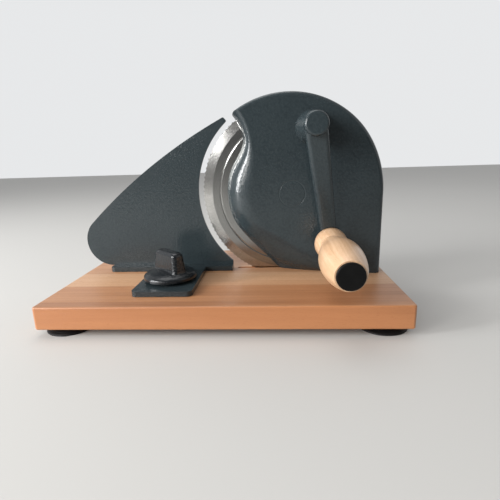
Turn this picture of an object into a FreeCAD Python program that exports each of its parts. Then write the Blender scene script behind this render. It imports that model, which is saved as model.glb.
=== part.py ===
"""Hand cranked bread slicer: a wooden board, a toothed disc blade in a cast housing, a crank with a
turned grip, and a stop plate that slides to set the slice and is clamped by a wing knob.

All sizes are in millimetres. Places are given from the blade: x to the right of its axis, forward
of its back face (towards the crank), and height above the top of the board.
"""
import FreeCAD, Part

import math
import os

Vector = FreeCAD.Vector

# ---------------------------------------------------------------- driving dimensions
# Fits
RUNNING = 0.05               # radial clearance of a shaft that turns in its bush
SNUG = 0.02                  # radial clearance of pieces pressed or screwed together
GLIDE = 0.3                  # gap between surfaces that move past each other

# Blade
BLADE_RADIUS = 95.0
BLADE_THICKNESS = 1.4
BLADE_DIP = 10.4             # how far the blade reaches below the top of the board
BLADE_CLEARANCE = 1.0        # between the blade and whatever surrounds it
BEVEL_WIDTH = 10.4
BEVEL_EDGE_THICKNESS = 0.35
TOOTH_COUNT = 118
TOOTH_DEPTH = 1.1
GROOVE_RADIUS = 76.0
GROOVE_WIDTH = 2.4
GROOVE_DEPTH = 0.2
BLADE_SCREW_CIRCLE = 30.0    # radius of the circle of screws that hold the gear to the blade
BLADE_SCREW_COUNT = 4
BLADE_SCREW_RADIUS = 2.0

# Gears
CRANK_GEAR_TEETH = 32
BLADE_GEAR_TEETH = 56
GEAR_WIDTH = 9.0
GEAR_ROOM = 4.5              # between the crank gear's teeth and the edge of the blade's pocket
PRESSURE_ANGLE = 20.0
BACKLASH = 0.24
CRANK_AXIS_LEAN = 73.5       # direction of the crank axis from the blade axis, from +X, degrees

# Housing
HOUSING_DEPTH = 28.0
HOUSING_WALL = 3.0
HOUSING_SIDE_WALL = 2.0
HOUSING_BACK_RIM = 1.0       # how far the rim reaches behind the blade's back face
HOUSING_TRIM = 0.8           # drawn below the board and trimmed off flat
RIM_DRAFT = 4.2
RIM_DRIFT_X = -4.0           # how far the rim's centre has moved off the blade axis at the front
RIM_DRIFT_RISE = 2.4
SIDE_DRAFT = 7.5
RIM_FILLET = 4.0
RIM_ARC_END = 45.0           # where the round rim starts to ease into the straight side, degrees
RIM_EASE = 25.0
SIDE_EASE = 25.0
SCOOP_CENTRE_X = -97.0       # centre of the hollow between the upper tip and the bulge
SCOOP_CENTRE_RISE = 48.4     # height of that centre above the blade axis
SCOOP_RADIUS = 48.3
SCOOP_SHOULDER = 9.0
BULGE_RADIUS = 68.0          # left edge, concentric with the blade
BULGE_SHOULDER = 26.0
BULGE_START = 158.0          # where the bulge takes over from the scoop, degrees
FOOT_X = -12.7               # where the left edge meets the board
RAMP_MARGIN = 2.0
RAMP_POWER = 1.43
RAMP_BELLY = 9.0             # how far the front's lower left edge bows out of a straight line
HOUSING_SCREW_PLACES = ((8.0, 6.6), (45.0, 11.5), (80.0, 14.0))  # x, forward
HOUSING_SCREW_RADIUS = 2.5
HOUSING_BOSS_RADIUS = 5.0
HOUSING_BOSS_HEIGHT = 20.0

# Blade axle and its fittings
AXLE_RADIUS = 6.0
AXLE_HEAD_RADIUS = 13.0
AXLE_HEAD_THICKNESS = 4.0
AXLE_BOSS_RADIUS = 16.0
BLADE_BUSH_WALL = 2.5
THRUST_WASHER_THICKNESS = 0.8
RETAINER_RADIUS = 15.0
RETAINER_THICKNESS = 1.2
BLADE_SCREW_HEAD_RADIUS = 8.0
BLADE_SCREW_HEAD_HEIGHT = 2.4
BLADE_SCREW_SHANK_RADIUS = 3.0
BLADE_SCREW_LENGTH = 14.0

# Crank shaft and its fittings
SHAFT_RADIUS = 5.0
SHAFT_COLLAR_RADIUS = 8.0
SHAFT_COLLAR_WIDTH = 1.6
SHAFT_SQUARE = 7.0
SHAFT_SQUARE_LENGTH = 20.0
CRANK_BUSH_WALL = 2.5
CRANK_BOSS_RADIUS = 12.0
KEY_WIDTH = 3.0
KEY_HEIGHT = 3.0
KEY_LENGTH = 7.0

# Crank
CRANK_RADIUS = 112.4
CRANK_REST_ANGLE = -80.7     # direction of the arm at rest, from +X, degrees
HUB_BASE_RADIUS = 16.0
HUB_SHOULDER_RADIUS = 14.6
HUB_SHOULDER_PLACE = 46.0
HUB_TOP_RADIUS = 10.6
HUB_TAPER_END = 60.0
HUB_FRONT = 72.0
HUB_SOCKET_RADIUS = 7.4
CRANK_SCREW_RADIUS = 2.5
CRANK_SCREW_HEAD_RADIUS = 4.4
CRANK_SCREW_HEAD_HEIGHT = 3.6
CRANK_SCREW_LENGTH = 14.0
CRANK_WASHER_THICKNESS = 1.0
HUB_CAP_RADIUS = 10.6
HUB_CAP_HEIGHT = 4.0
HUB_CAP_EDGE = 2.2           # rounding of its front edge
HUB_CAP_SPIGOT = 4.0
ARM_TOP_MIDDLE = 64.5        # forward place of the arm's middle at the hub
ARM_TOP_WIDTH = 20.6
ARM_TOP_THICKNESS = 12.0
ARM_END_WIDTH = 14.8
ARM_END_THICKNESS = 8.8
ARM_EDGE_RADIUS = 3.9
EYE_RADIUS = 8.0
EYE_FRONT = 44.0

# Grip
GRIP_LEAN = 2.4              # outward lean of the grip's axis, degrees
GRIP_LENGTH = 94.0
GRIP_COLLAR_RADIUS = 16.0
GRIP_COLLAR_LENGTH = 9.5
GRIP_WAIST_PLACE = 16.0      # from the collar's back face
GRIP_WAIST_RADIUS = 12.0
GRIP_SWELL_SHARE = 0.36      # of the belly's swell, reached a third of the way from the waist
GRIP_BELLY_PLACE = 56.0
GRIP_BELLY_RADIUS = 18.9
GRIP_SHOULDER_PLACE = 78.0
GRIP_SHOULDER_RADIUS = 16.9
GRIP_END_RADIUS = 12.6
GRIP_BOLT_RADIUS = 4.0
GRIP_BOLT_HEAD_RADIUS = 6.5
GRIP_BOLT_HEAD_HEIGHT = 4.0
GRIP_WASHER_RADIUS = 9.0
GRIP_WASHER_THICKNESS = 0.8
GRIP_SOCKET_RADIUS = 8.0
GRIP_SOCKET_DEPTH = 12.0
END_CAP_RADIUS = 11.3
END_CAP_THICKNESS = 2.4
END_CAP_EDGE = 1.0           # rounding of its front edge
END_CAP_SPIGOT = 4.0

# Board and feet
BOARD_LENGTH = 330.0
BOARD_THICKNESS = 21.6
BOARD_IN_FRONT = 116.0
BOARD_BEHIND = 81.6
BOARD_CORNER_RADIUS = 2.8
BOARD_EDGE_RADIUS = 1.6
BLADE_SLOT_WIDTH = 4.6
BLADE_SLOT_END_ROOM = 17.0
BLADE_SLOT_FLOOR_ROOM = 2.0
FOOT_HEIGHT = 7.0
FOOT_RADIUS = 22.0
FOOT_NECK_RADIUS = 10.0
FOOT_LIP = 1.4
FOOT_SIDE_INSET = 21.5
FOOT_END_INSET = 24.0
FOOT_HOLLOW = 2.6
FOOT_SCREW_RADIUS = 2.0
FOOT_SCREW_HEAD_RADIUS = 4.0
FOOT_SCREW_LENGTH = 14.0

# Sliding base and stop plate
PLATE_THICKNESS = 2.5
PLATE_GAP = 4.8              # between the blade's teeth and the plate's hollow edge
PLATE_TIP_ANGLE = 131.6      # place of the plate's blunt tip round the blade, degrees
PLATE_TIP_WIDTH = 5.2
PLATE_NOSE_RADIUS = 28.8
PLATE_NOSE_LEAN = 138.5      # where the nose meets the upper edge, degrees
PLATE_EDGE_CROWN = 7.6       # how far the upper edge bows out of a straight line
PLATE_CORNER_RADIUS = 1.5
SLIDE_TRAVEL = 15.0
SLIDE_THICKNESS = 5.0
SLIDE_BAR_DEPTH = 14.0
SLIDE_BAR_REACH = 34.8       # how far the bar reaches in past the plate's hollow edge
SLIDE_BAR_LENGTH = 139.0
SLIDE_FOOT_X = -123.0
SLIDE_FOOT_WIDTH = 57.0
SLIDE_FOOT_FRONT = 93.0
SLIDE_CORNER_RADIUS = 5.0
SLIDE_RIB_WIDTH = 8.0
SLIDE_RIB_HEIGHT = 4.0
PLATE_SCREW_COUNT = 4
PLATE_SCREW_RADIUS = 1.25
PLATE_SCREW_HEAD_RADIUS = 1.9
PLATE_SCREW_LENGTH = 8.0

# Clamp
STUD_FORWARD = 56.0
STUD_RADIUS = 4.0
STUD_HEAD_RADIUS = 8.5
STUD_HEAD_HEIGHT = 3.0
STUD_WASHER_THICKNESS = 1.4
CLAMP_WASHER_RADIUS = 10.0
CLAMP_WASHER_THICKNESS = 2.0
KNOB_RADIUS = 26.0
KNOB_SKIRT_HEIGHT = 2.2
KNOB_DOME_HEIGHT = 9.0
KNOB_DOME_FULLNESS = 2.1     # 2 would be an ellipse
KNOB_HEIGHT = 27.2
KNOB_WING_LENGTH = 41.0
KNOB_WING_THICKNESS = 16.0
KNOB_WING_TOP_LENGTH = 34.5
KNOB_WING_TOP_THICKNESS = 11.6
KNOB_WING_ANGLE = -43.5
KNOB_EDGE_RADIUS = 2.6
KNOB_HOLLOW = 1.6
KNOB_RIM_WALL = 3.0
INSERT_RADIUS = 5.6
INSERT_LENGTH = 15.0

# ---------------------------------------------------------------- places worked out from them
AXIS_HEIGHT = BLADE_RADIUS - BLADE_DIP
RIM_RADIUS = BLADE_RADIUS + BLADE_CLEARANCE + HOUSING_WALL
SIDE_X = BLADE_RADIUS + BLADE_CLEARANCE + HOUSING_SIDE_WALL
CAVITY_BACK = BLADE_THICKNESS + BLADE_CLEARANCE
CAVITY_FRONT = HOUSING_DEPTH - HOUSING_WALL
GEAR_REACH = BLADE_RADIUS + BLADE_CLEARANCE - GEAR_ROOM
GEAR_MODULE = GEAR_REACH / (CRANK_GEAR_TEETH + BLADE_GEAR_TEETH / 2 + 1)
CENTRE_DISTANCE = GEAR_MODULE * (CRANK_GEAR_TEETH + BLADE_GEAR_TEETH) / 2
CRANK_X = CENTRE_DISTANCE * math.cos(math.radians(CRANK_AXIS_LEAN))
CRANK_HEIGHT = AXIS_HEIGHT + CENTRE_DISTANCE * math.sin(math.radians(CRANK_AXIS_LEAN))
GRIP_X = CRANK_X + CRANK_RADIUS * math.cos(math.radians(CRANK_REST_ANGLE))
GRIP_HEIGHT = CRANK_HEIGHT + CRANK_RADIUS * math.sin(math.radians(CRANK_REST_ANGLE))
GEAR_BACK = CAVITY_BACK + GLIDE * 2
GEAR_FRONT = GEAR_BACK + GEAR_WIDTH
GRIP_BACK = EYE_FRONT + GRIP_WASHER_THICKNESS + GLIDE
GRIP_FRONT = GRIP_BACK + GRIP_LENGTH
CAP_FRONT = GRIP_FRONT + END_CAP_THICKNESS
CAP_FLAT_RADIUS = END_CAP_RADIUS - END_CAP_EDGE
REACH_IN_FRONT = (EYE_FRONT + (CAP_FRONT - EYE_FRONT) * math.cos(math.radians(GRIP_LEAN))
                  + CAP_FLAT_RADIUS * math.sin(math.radians(GRIP_LEAN)))
BOARD_TOP = FOOT_HEIGHT + BOARD_THICKNESS
BLADE_X = BOARD_LENGTH / 2 - SIDE_X
BLADE_Y = (REACH_IN_FRONT - BOARD_BEHIND) / 2
SLIDE_TOP = GLIDE + SLIDE_THICKNESS
PLATE_HOLLOW_RADIUS = BLADE_RADIUS + PLATE_GAP
SLIDE_BAR_RIGHT = SLIDE_BAR_REACH - PLATE_HOLLOW_RADIUS
FAR = 400.0                  # longer than anything that is cut away


# ---------------------------------------------------------------- helpers
def place(x, forward, height):
    """Point in the part's frame from a place given at the blade."""
    return Vector(BLADE_X + x, BLADE_Y - forward, BOARD_TOP + height)


def polar(radius, degrees):
    """x and height of a point round the blade axis."""
    angle = math.radians(degrees)
    return radius * math.cos(angle), AXIS_HEIGHT + radius * math.sin(angle)


def face_of(points):
    """Flat face inside a closed polygon."""
    return Part.Face(Part.makePolygon(points + [points[0]]))


def turned(profile, x, height):
    """Round piece on an axis along Y, from (radius, forward) pairs."""
    face = face_of([place(x + radius, forward, height) for radius, forward in profile])
    return face.revolve(place(x, 0, height), Vector(0, 1, 0), 360)


def turned_upright(profile, x, forward):
    """Round piece on an upright axis, from (radius, height) pairs."""
    face = face_of([place(x + radius, forward, height) for radius, height in profile])
    return face.revolve(place(x, forward, 0), Vector(0, 0, 1), 360)


def rod(radius, x, height, start, end):
    """Cylinder along Y between two forward places."""
    return Part.makeCylinder(radius, end - start, place(x, start, height), Vector(0, -1, 0))


def post(radius, x, forward, bottom, top):
    """Upright cylinder between two heights."""
    return Part.makeCylinder(radius, top - bottom, place(x, forward, bottom), Vector(0, 0, 1))


def block(x_low, x_high, back, front, bottom, top):
    """Box between two places in each direction."""
    corner = place(x_low, front, bottom)
    return Part.makeBox(x_high - x_low, front - back, top - bottom, corner)


def edges_along(shape, direction):
    """Straight edges that run along one direction."""
    chosen = []
    for edge in shape.Edges:
        if isinstance(edge.Curve, Part.Line) or isinstance(edge.Curve, Part.LineSegment):
            if abs(edge.tangentAt(edge.FirstParameter).dot(direction)) > 0.999:
                chosen.append(edge)
    return chosen


def rim_edges(shape, forward, radius):
    """Edges round the rim of a turned piece at one forward place."""
    front_y = place(0, forward, 0).y
    return [edge for edge in shape.Edges
            if abs(edge.CenterOfMass.y - front_y) < 0.01 and edge.Length > radius]


def spline_through(points):
    """Smooth edge through points."""
    curve = Part.BSplineCurve()
    curve.interpolate(points)
    return curve.toShape()


def save(name, shape):
    """Write one node's STEP file."""
    shape.exportStep("parts/" + name + ".step")


# ---------------------------------------------------------------- housing
def rim_setback(forward):
    """How far the rounded front edge has drawn in at one depth."""
    into_fillet = max(0.0, forward - (HOUSING_DEPTH - RIM_FILLET))
    return RIM_FILLET - math.sqrt(max(0.0, RIM_FILLET ** 2 - into_fillet ** 2))


def shoulder_share(forward):
    """Share of the housing's depth, 0 at the blade and 1 at the front face."""
    share = (forward - CAVITY_BACK) / (HOUSING_DEPTH - CAVITY_BACK)
    return min(1.0, max(0.0, share))


def scoop_meets_rim(scoop_radius, rim_radius, rim_x, rim_rise):
    """The upper tip: where the scoop's circle crosses the rim's circle, from the rim's centre."""
    centre_x = SCOOP_CENTRE_X - rim_x
    centre_z = SCOOP_CENTRE_RISE - rim_rise
    distance = math.hypot(centre_x, centre_z)
    along = (rim_radius ** 2 - scoop_radius ** 2 + distance ** 2) / (2 * distance)
    aside = math.sqrt(rim_radius ** 2 - along ** 2)
    unit_x, unit_z = centre_x / distance, centre_z / distance
    return along * unit_x + aside * unit_z, along * unit_z - aside * unit_x


def housing_section(forward, inset, bottom):
    """Closed outline of the housing at one depth, drawn in by a wall where it bounds the hollow."""
    depth_share = shoulder_share(forward + inset)
    shoulder = 1 - math.sqrt(max(0.0, 1 - depth_share ** 2))
    full = max(0.0, forward) / HOUSING_DEPTH
    rim = RIM_RADIUS - RIM_DRAFT * full - rim_setback(forward) - inset
    rim_x = RIM_DRIFT_X * shoulder_share(forward)
    rim_rise = RIM_DRIFT_RISE * shoulder_share(forward)
    side = SIDE_X - SIDE_DRAFT * full - rim_setback(forward) - inset
    scoop = SCOOP_RADIUS + SCOOP_SHOULDER * shoulder + inset
    bulge = BULGE_RADIUS - BULGE_SHOULDER * shoulder - inset
    front_side = SIDE_X - SIDE_DRAFT - RIM_FILLET
    ramp_run = front_side - RAMP_MARGIN - FOOT_X
    foot = FOOT_X + ramp_run * depth_share ** RAMP_POWER

    tip_x, tip_rise = scoop_meets_rim(scoop, rim, rim_x, rim_rise)
    tip_angle = math.atan2(tip_rise + rim_rise - SCOOP_CENTRE_RISE, tip_x + rim_x - SCOOP_CENTRE_X)
    arc_end = math.radians(RIM_ARC_END)
    arc_middle = (math.atan2(tip_rise, tip_x) + arc_end) / 2

    def on_rim(angle):
        x = rim_x + rim * math.cos(angle)
        return place(x, forward, AXIS_HEIGHT + rim_rise + rim * math.sin(angle))

    tip = place(rim_x + tip_x, forward, AXIS_HEIGHT + rim_rise + tip_rise)
    top = on_rim(arc_middle)
    shoulder_point = on_rim(arc_end)
    ease = RIM_EASE * math.sin(arc_end)
    side_top = place(side, forward, AXIS_HEIGHT)
    side_bottom = place(side, forward, bottom)

    contour = [tip]
    for fraction in (0.6, 0.25):
        angle = tip_angle * fraction
        x = SCOOP_CENTRE_X + scoop * math.cos(angle)
        contour.append(place(x, forward, AXIS_HEIGHT + SCOOP_CENTRE_RISE + scoop * math.sin(angle)))
    foot_direction = math.atan2(-AXIS_HEIGHT, foot)
    foot_distance = math.hypot(AXIS_HEIGHT, foot)
    leave = math.degrees(foot_direction - math.acos(bulge / foot_distance)) % 360
    for share in (0, 1 / 3, 2 / 3, 1):
        x, height = polar(bulge, BULGE_START + (leave - BULGE_START) * share)
        contour.append(place(x, forward, height))
    leave_x, leave_height = polar(bulge, leave)
    foot_low_x = foot + (foot - leave_x) * -bottom / leave_height
    run_x, run_height = foot_low_x - leave_x, bottom - leave_height
    run = math.hypot(run_x, run_height)
    for share in (1 / 3, 2 / 3, 1):
        belly = RAMP_BELLY * depth_share * math.sin(math.pi * share)
        x = leave_x + run_x * share + belly * run_height / run
        contour.append(place(x, forward, leave_height + run_height * share - belly * run_x / run))

    arc = Part.Arc(tip, top, shoulder_point).toShape()
    easing = Part.BezierCurve()
    easing.setPoles([
        shoulder_point,
        shoulder_point + Vector(ease, 0, -ease),
        side_top + Vector(0, 0, SIDE_EASE),
        side_top,
    ])
    left = Part.BSplineCurve()
    left.interpolate(contour)
    edges = [
        arc,
        easing.toShape(),
        Part.makeLine(side_top, side_bottom),
        Part.makeLine(side_bottom, contour[-1]),
        left.toShape(),
    ]
    return Part.Wire(Part.__sortEdges__(edges))


def housing_loft(depths, inset, bottom):
    """Solid through the housing's outlines at several depths."""
    return Part.makeLoft([housing_section(depth, inset, bottom) for depth in depths], True, False)


def make_housing():
    """Cast cover with a rounded rim, a scooped left side and bosses for the two axes and the screws."""
    rounded = HOUSING_DEPTH - RIM_FILLET
    straight = [CAVITY_BACK + (rounded - CAVITY_BACK) * step / 6 for step in range(7)]
    turns = [rounded + RIM_FILLET * math.sin(math.radians(angle)) for angle in (24, 44, 64, 90)]
    outside = housing_loft([-HOUSING_BACK_RIM] + straight + turns, 0.0, -HOUSING_TRIM)
    hollow_depth = CAVITY_FRONT - CAVITY_BACK
    inner = [CAVITY_BACK + hollow_depth * share for share in (0, 0.2, 0.4, 0.6, 0.8, 0.92, 1)]
    hollow = housing_loft(inner, HOUSING_WALL, HOUSING_WALL)

    bosses = [
        rod(AXLE_BOSS_RADIUS, 0, AXIS_HEIGHT, AXLE_BOSS_BACK, HOUSING_DEPTH),
        rod(CRANK_BOSS_RADIUS, CRANK_X, CRANK_HEIGHT, CRANK_BOSS_BACK, HOUSING_DEPTH),
    ]
    for x, forward in HOUSING_SCREW_PLACES:
        bosses.append(post(HOUSING_BOSS_RADIUS, x, forward, 0, HOUSING_BOSS_HEIGHT))
    housing = outside.cut(hollow)
    for boss in bosses:
        housing = housing.fuse(boss.common(outside))

    pocket = rod(BLADE_RADIUS + BLADE_CLEARANCE, 0, AXIS_HEIGHT, -FAR, CAVITY_BACK)
    below = block(-FAR, FAR, -FAR, FAR, -FAR, 0)
    head = rod(AXLE_HEAD_RADIUS + SNUG, 0, AXIS_HEIGHT, HOUSING_DEPTH - AXLE_HEAD_THICKNESS, FAR)
    axle_hole = rod(AXLE_RADIUS + SNUG, 0, AXIS_HEIGHT, -FAR, FAR)
    bush_hole = rod(CRANK_BUSH_RADIUS + SNUG, CRANK_X, CRANK_HEIGHT, -FAR, FAR)
    cuts = [pocket, below, head, axle_hole, bush_hole]
    for x, forward in HOUSING_SCREW_PLACES:
        cuts.append(post(HOUSING_SCREW_RADIUS + SNUG, x, forward, -FAR, HOUSING_BOSS_HEIGHT - HOUSING_WALL))
    for tool in cuts:
        housing = housing.cut(tool)
    return housing.removeSplitter()


# ---------------------------------------------------------------- gears
def gear_outline(teeth, phase):
    """Corner points (radius, angle) of an involute gear, one tooth centred at the phase angle."""
    pitch = GEAR_MODULE * teeth / 2
    base = pitch * math.cos(math.radians(PRESSURE_ANGLE))
    tip = pitch + GEAR_MODULE
    root = pitch - 1.25 * GEAR_MODULE
    half_tooth = math.pi / (2 * teeth) - BACKLASH / (4 * pitch)

    def involute(radius):
        cosine = min(1.0, base / radius)
        angle = math.acos(cosine)
        return math.tan(angle) - angle

    stations = [max(root, base), (max(root, base) + pitch) / 2, pitch, (pitch + tip) / 2, tip]
    flank = [(radius, half_tooth + involute(pitch) - involute(radius)) for radius in stations]
    if base > root:
        flank.insert(0, (root, flank[0][1]))
    corners = []
    for index in range(teeth):
        centre = phase + 2 * math.pi * index / teeth
        corners += [(radius, centre - half) for radius, half in flank]
        corners += [(radius, centre + half) for radius, half in reversed(flank)]
    return corners


def toothed_disc(teeth, phase, x, height):
    """Solid gear blank with its teeth, over the gear's width."""
    points = []
    for radius, angle in gear_outline(teeth, phase):
        points.append(place(x + radius * math.cos(angle), GEAR_BACK, height + radius * math.sin(angle)))
    return face_of(points).extrude(Vector(0, -GEAR_WIDTH, 0))


# ---------------------------------------------------------------- places along the two axes
BLADE_BUSH_RADIUS = AXLE_RADIUS + RUNNING + BLADE_BUSH_WALL
THRUST_WASHER_BACK = GEAR_FRONT + GLIDE
AXLE_BOSS_BACK = THRUST_WASHER_BACK + THRUST_WASHER_THICKNESS
SHAFT_BACK = CAVITY_BACK
COLLAR_FRONT = GEAR_FRONT + SHAFT_COLLAR_WIDTH
CRANK_BOSS_BACK = COLLAR_FRONT + GLIDE
CRANK_BUSH_RADIUS = SHAFT_RADIUS + RUNNING + CRANK_BUSH_WALL
HUB_BACK = HOUSING_DEPTH + 2 * GLIDE
SHAFT_FRONT = HUB_TAPER_END
SQUARE_BACK = SHAFT_FRONT - SHAFT_SQUARE_LENGTH
CRANK_WASHER_FRONT = SHAFT_FRONT + CRANK_WASHER_THICKNESS
CRANK_SCREW_FRONT = CRANK_WASHER_FRONT + CRANK_SCREW_HEAD_HEIGHT
LEAN = math.radians(CRANK_AXIS_LEAN)
BLADE_GEAR_PHASE = LEAN + math.pi / BLADE_GEAR_TEETH
CRANK_GEAR_PHASE = LEAN + math.pi


# ---------------------------------------------------------------- blade group
def make_blade():
    """Disc with a one sided ground bevel, a pressed ring groove and fine scalloped teeth."""
    bevel_start = BLADE_RADIUS - BEVEL_WIDTH
    disc = turned([
        (BLADE_BUSH_RADIUS + SNUG, 0),
        (BLADE_RADIUS, 0),
        (BLADE_RADIUS, BEVEL_EDGE_THICKNESS),
        (bevel_start, BLADE_THICKNESS),
        (GROOVE_RADIUS + GROOVE_WIDTH / 2, BLADE_THICKNESS),
        (GROOVE_RADIUS, BLADE_THICKNESS - GROOVE_DEPTH),
        (GROOVE_RADIUS - GROOVE_WIDTH / 2, BLADE_THICKNESS),
        (BLADE_BUSH_RADIUS + SNUG, BLADE_THICKNESS),
    ], 0, AXIS_HEIGHT)
    half_pitch = math.pi * BLADE_RADIUS / TOOTH_COUNT
    scallop_radius = (half_pitch ** 2 + TOOTH_DEPTH ** 2) / (2 * TOOTH_DEPTH)
    scallop_centre = BLADE_RADIUS - TOOTH_DEPTH + scallop_radius
    scallops = []
    for index in range(TOOTH_COUNT):
        x, height = polar(scallop_centre, 360 * index / TOOTH_COUNT)
        scallops.append(rod(scallop_radius, x, height, -BLADE_THICKNESS, 2 * BLADE_THICKNESS))
    disc = disc.cut(Part.makeCompound(scallops))
    for x, height in gear_screw_places():
        disc = disc.cut(rod(BLADE_SCREW_RADIUS + SNUG, x, height, -BLADE_THICKNESS, BLADE_THICKNESS * 2))
    return disc


def gear_screw_places():
    """Places of the screws that hold the blade to its gear."""
    return [polar(BLADE_SCREW_CIRCLE, 45 + 360 * index / BLADE_SCREW_COUNT)
            for index in range(BLADE_SCREW_COUNT)]


def make_blade_gear():
    """Gear with a spacer hub that seats on the blade's front face."""
    gear = toothed_disc(BLADE_GEAR_TEETH, BLADE_GEAR_PHASE, 0, AXIS_HEIGHT)
    seat_radius = BLADE_SCREW_CIRCLE + 2 * BLADE_SCREW_RADIUS
    gear = gear.fuse(rod(seat_radius, 0, AXIS_HEIGHT, BLADE_THICKNESS, GEAR_BACK))
    gear = gear.cut(rod(BLADE_BUSH_RADIUS + SNUG, 0, AXIS_HEIGHT, 0, FAR))
    for x, height in gear_screw_places():
        gear = gear.cut(rod(BLADE_SCREW_RADIUS + SNUG, x, height, 0, FAR))
    return gear


def make_gear_screws():
    """Low round headed screws through the blade into its gear."""
    head_radius = 2 * BLADE_SCREW_RADIUS
    head_height = BLADE_SCREW_RADIUS / 2
    screws = []
    for x, height in gear_screw_places():
        screws.append(turned([
            (0, -head_height),
            (head_radius * 0.7, -head_height),
            (head_radius, -head_height * 0.3),
            (head_radius, 0),
            (BLADE_SCREW_RADIUS, 0),
            (BLADE_SCREW_RADIUS, GEAR_FRONT - BLADE_SCREW_RADIUS),
            (0, GEAR_FRONT - BLADE_SCREW_RADIUS),
        ], x, height))
    return Part.makeCompound(screws)


def make_blade_axle():
    """Fixed axle with a head that lies flush in the housing's front."""
    head_back = HOUSING_DEPTH - AXLE_HEAD_THICKNESS
    axle = turned([
        (0, 0),
        (AXLE_RADIUS, 0),
        (AXLE_RADIUS, head_back),
        (AXLE_HEAD_RADIUS, head_back),
        (AXLE_HEAD_RADIUS, HOUSING_DEPTH),
        (0, HOUSING_DEPTH),
    ], 0, AXIS_HEIGHT)
    thread = rod(BLADE_SCREW_SHANK_RADIUS + SNUG, 0, AXIS_HEIGHT, -FAR, BLADE_SCREW_LENGTH)
    return axle.cut(thread)


def make_blade_bush():
    """Plain bush between the axle and the gear."""
    return rod(BLADE_BUSH_RADIUS, 0, AXIS_HEIGHT, GLIDE, GEAR_FRONT).cut(
        rod(AXLE_RADIUS + RUNNING, 0, AXIS_HEIGHT, -FAR, FAR))


def make_thrust_washer():
    """Washer between the gear and the axle's boss."""
    return rod(AXLE_BOSS_RADIUS, 0, AXIS_HEIGHT, THRUST_WASHER_BACK, AXLE_BOSS_BACK).cut(
        rod(AXLE_RADIUS + SNUG, 0, AXIS_HEIGHT, -FAR, FAR))


def make_blade_washer():
    """Retaining washer at the blade's back face, seated on the end of the axle."""
    return turned([
        (BLADE_SCREW_SHANK_RADIUS + SNUG, 0),
        (AXLE_RADIUS, 0),
        (AXLE_RADIUS, -GLIDE),
        (RETAINER_RADIUS, -GLIDE),
        (RETAINER_RADIUS - RETAINER_THICKNESS / 2, -GLIDE - RETAINER_THICKNESS),
        (BLADE_SCREW_SHANK_RADIUS + SNUG, -GLIDE - RETAINER_THICKNESS),
    ], 0, AXIS_HEIGHT)


def make_blade_screw():
    """Slotted screw with a wide domed head that holds the blade on its axle."""
    back = -GLIDE - RETAINER_THICKNESS
    screw = turned([
        (0, back - BLADE_SCREW_HEAD_HEIGHT),
        (BLADE_SCREW_HEAD_RADIUS * 0.6, back - BLADE_SCREW_HEAD_HEIGHT),
        (BLADE_SCREW_HEAD_RADIUS * 0.9, back - BLADE_SCREW_HEAD_HEIGHT * 0.6),
        (BLADE_SCREW_HEAD_RADIUS, back),
        (BLADE_SCREW_SHANK_RADIUS, back),
        (BLADE_SCREW_SHANK_RADIUS, BLADE_SCREW_LENGTH - 1),
        (0, BLADE_SCREW_LENGTH - 1),
    ], 0, AXIS_HEIGHT)
    slot_depth = BLADE_SCREW_HEAD_HEIGHT / 2
    slot_back = back - BLADE_SCREW_HEAD_HEIGHT
    slot = block(-FAR, FAR, slot_back, slot_back + slot_depth, AXIS_HEIGHT - 1, AXIS_HEIGHT + 1)
    return screw.cut(slot)


# ---------------------------------------------------------------- crank group
def square_bar(side, back, front):
    """Square bar on the crank axis, turned to stand square to the crank arm."""
    half = side / 2
    bar = block(CRANK_X - half, CRANK_X + half, back, front, CRANK_HEIGHT - half, CRANK_HEIGHT + half)
    bar.rotate(place(CRANK_X, 0, CRANK_HEIGHT), Vector(0, -1, 0), CRANK_REST_ANGLE)
    return bar


def key_box(room):
    """Key on top of the shaft; room is added all round for its seat."""
    bottom = CRANK_HEIGHT + SHAFT_RADIUS - KEY_HEIGHT / 2
    middle = (GEAR_BACK + GEAR_FRONT) / 2
    return block(CRANK_X - KEY_WIDTH / 2 - room, CRANK_X + KEY_WIDTH / 2 + room,
                 middle - KEY_LENGTH / 2 - room, middle + KEY_LENGTH / 2 + room,
                 bottom - room, bottom + KEY_HEIGHT + room)


def make_crank_shaft():
    """Shaft with a thrust collar in front of the gear, a square end and a tapped hole."""
    shaft = turned([
        (0, SHAFT_BACK),
        (SHAFT_RADIUS, SHAFT_BACK),
        (SHAFT_RADIUS, GEAR_FRONT),
        (SHAFT_COLLAR_RADIUS, GEAR_FRONT),
        (SHAFT_COLLAR_RADIUS, COLLAR_FRONT),
        (SHAFT_RADIUS, COLLAR_FRONT),
        (SHAFT_RADIUS, SQUARE_BACK),
        (0, SQUARE_BACK),
    ], CRANK_X, CRANK_HEIGHT)
    shaft = shaft.fuse(square_bar(SHAFT_SQUARE, SQUARE_BACK, SHAFT_FRONT))
    shaft = shaft.cut(key_box(SNUG))
    hole_back = SHAFT_FRONT - CRANK_SCREW_LENGTH
    return shaft.cut(rod(CRANK_SCREW_RADIUS + SNUG, CRANK_X, CRANK_HEIGHT, hole_back, FAR))


def make_crank_gear():
    """Pinion keyed to the crank shaft."""
    gear = toothed_disc(CRANK_GEAR_TEETH, CRANK_GEAR_PHASE, CRANK_X, CRANK_HEIGHT)
    gear = gear.cut(rod(SHAFT_RADIUS + SNUG, CRANK_X, CRANK_HEIGHT, 0, FAR))
    return gear.cut(key_box(SNUG))


def make_crank_bush():
    """Plain bush in the housing for the crank shaft."""
    return rod(CRANK_BUSH_RADIUS, CRANK_X, CRANK_HEIGHT, CRANK_BOSS_BACK, HOUSING_DEPTH).cut(
        rod(SHAFT_RADIUS + RUNNING, CRANK_X, CRANK_HEIGHT, 0, FAR))


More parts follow.
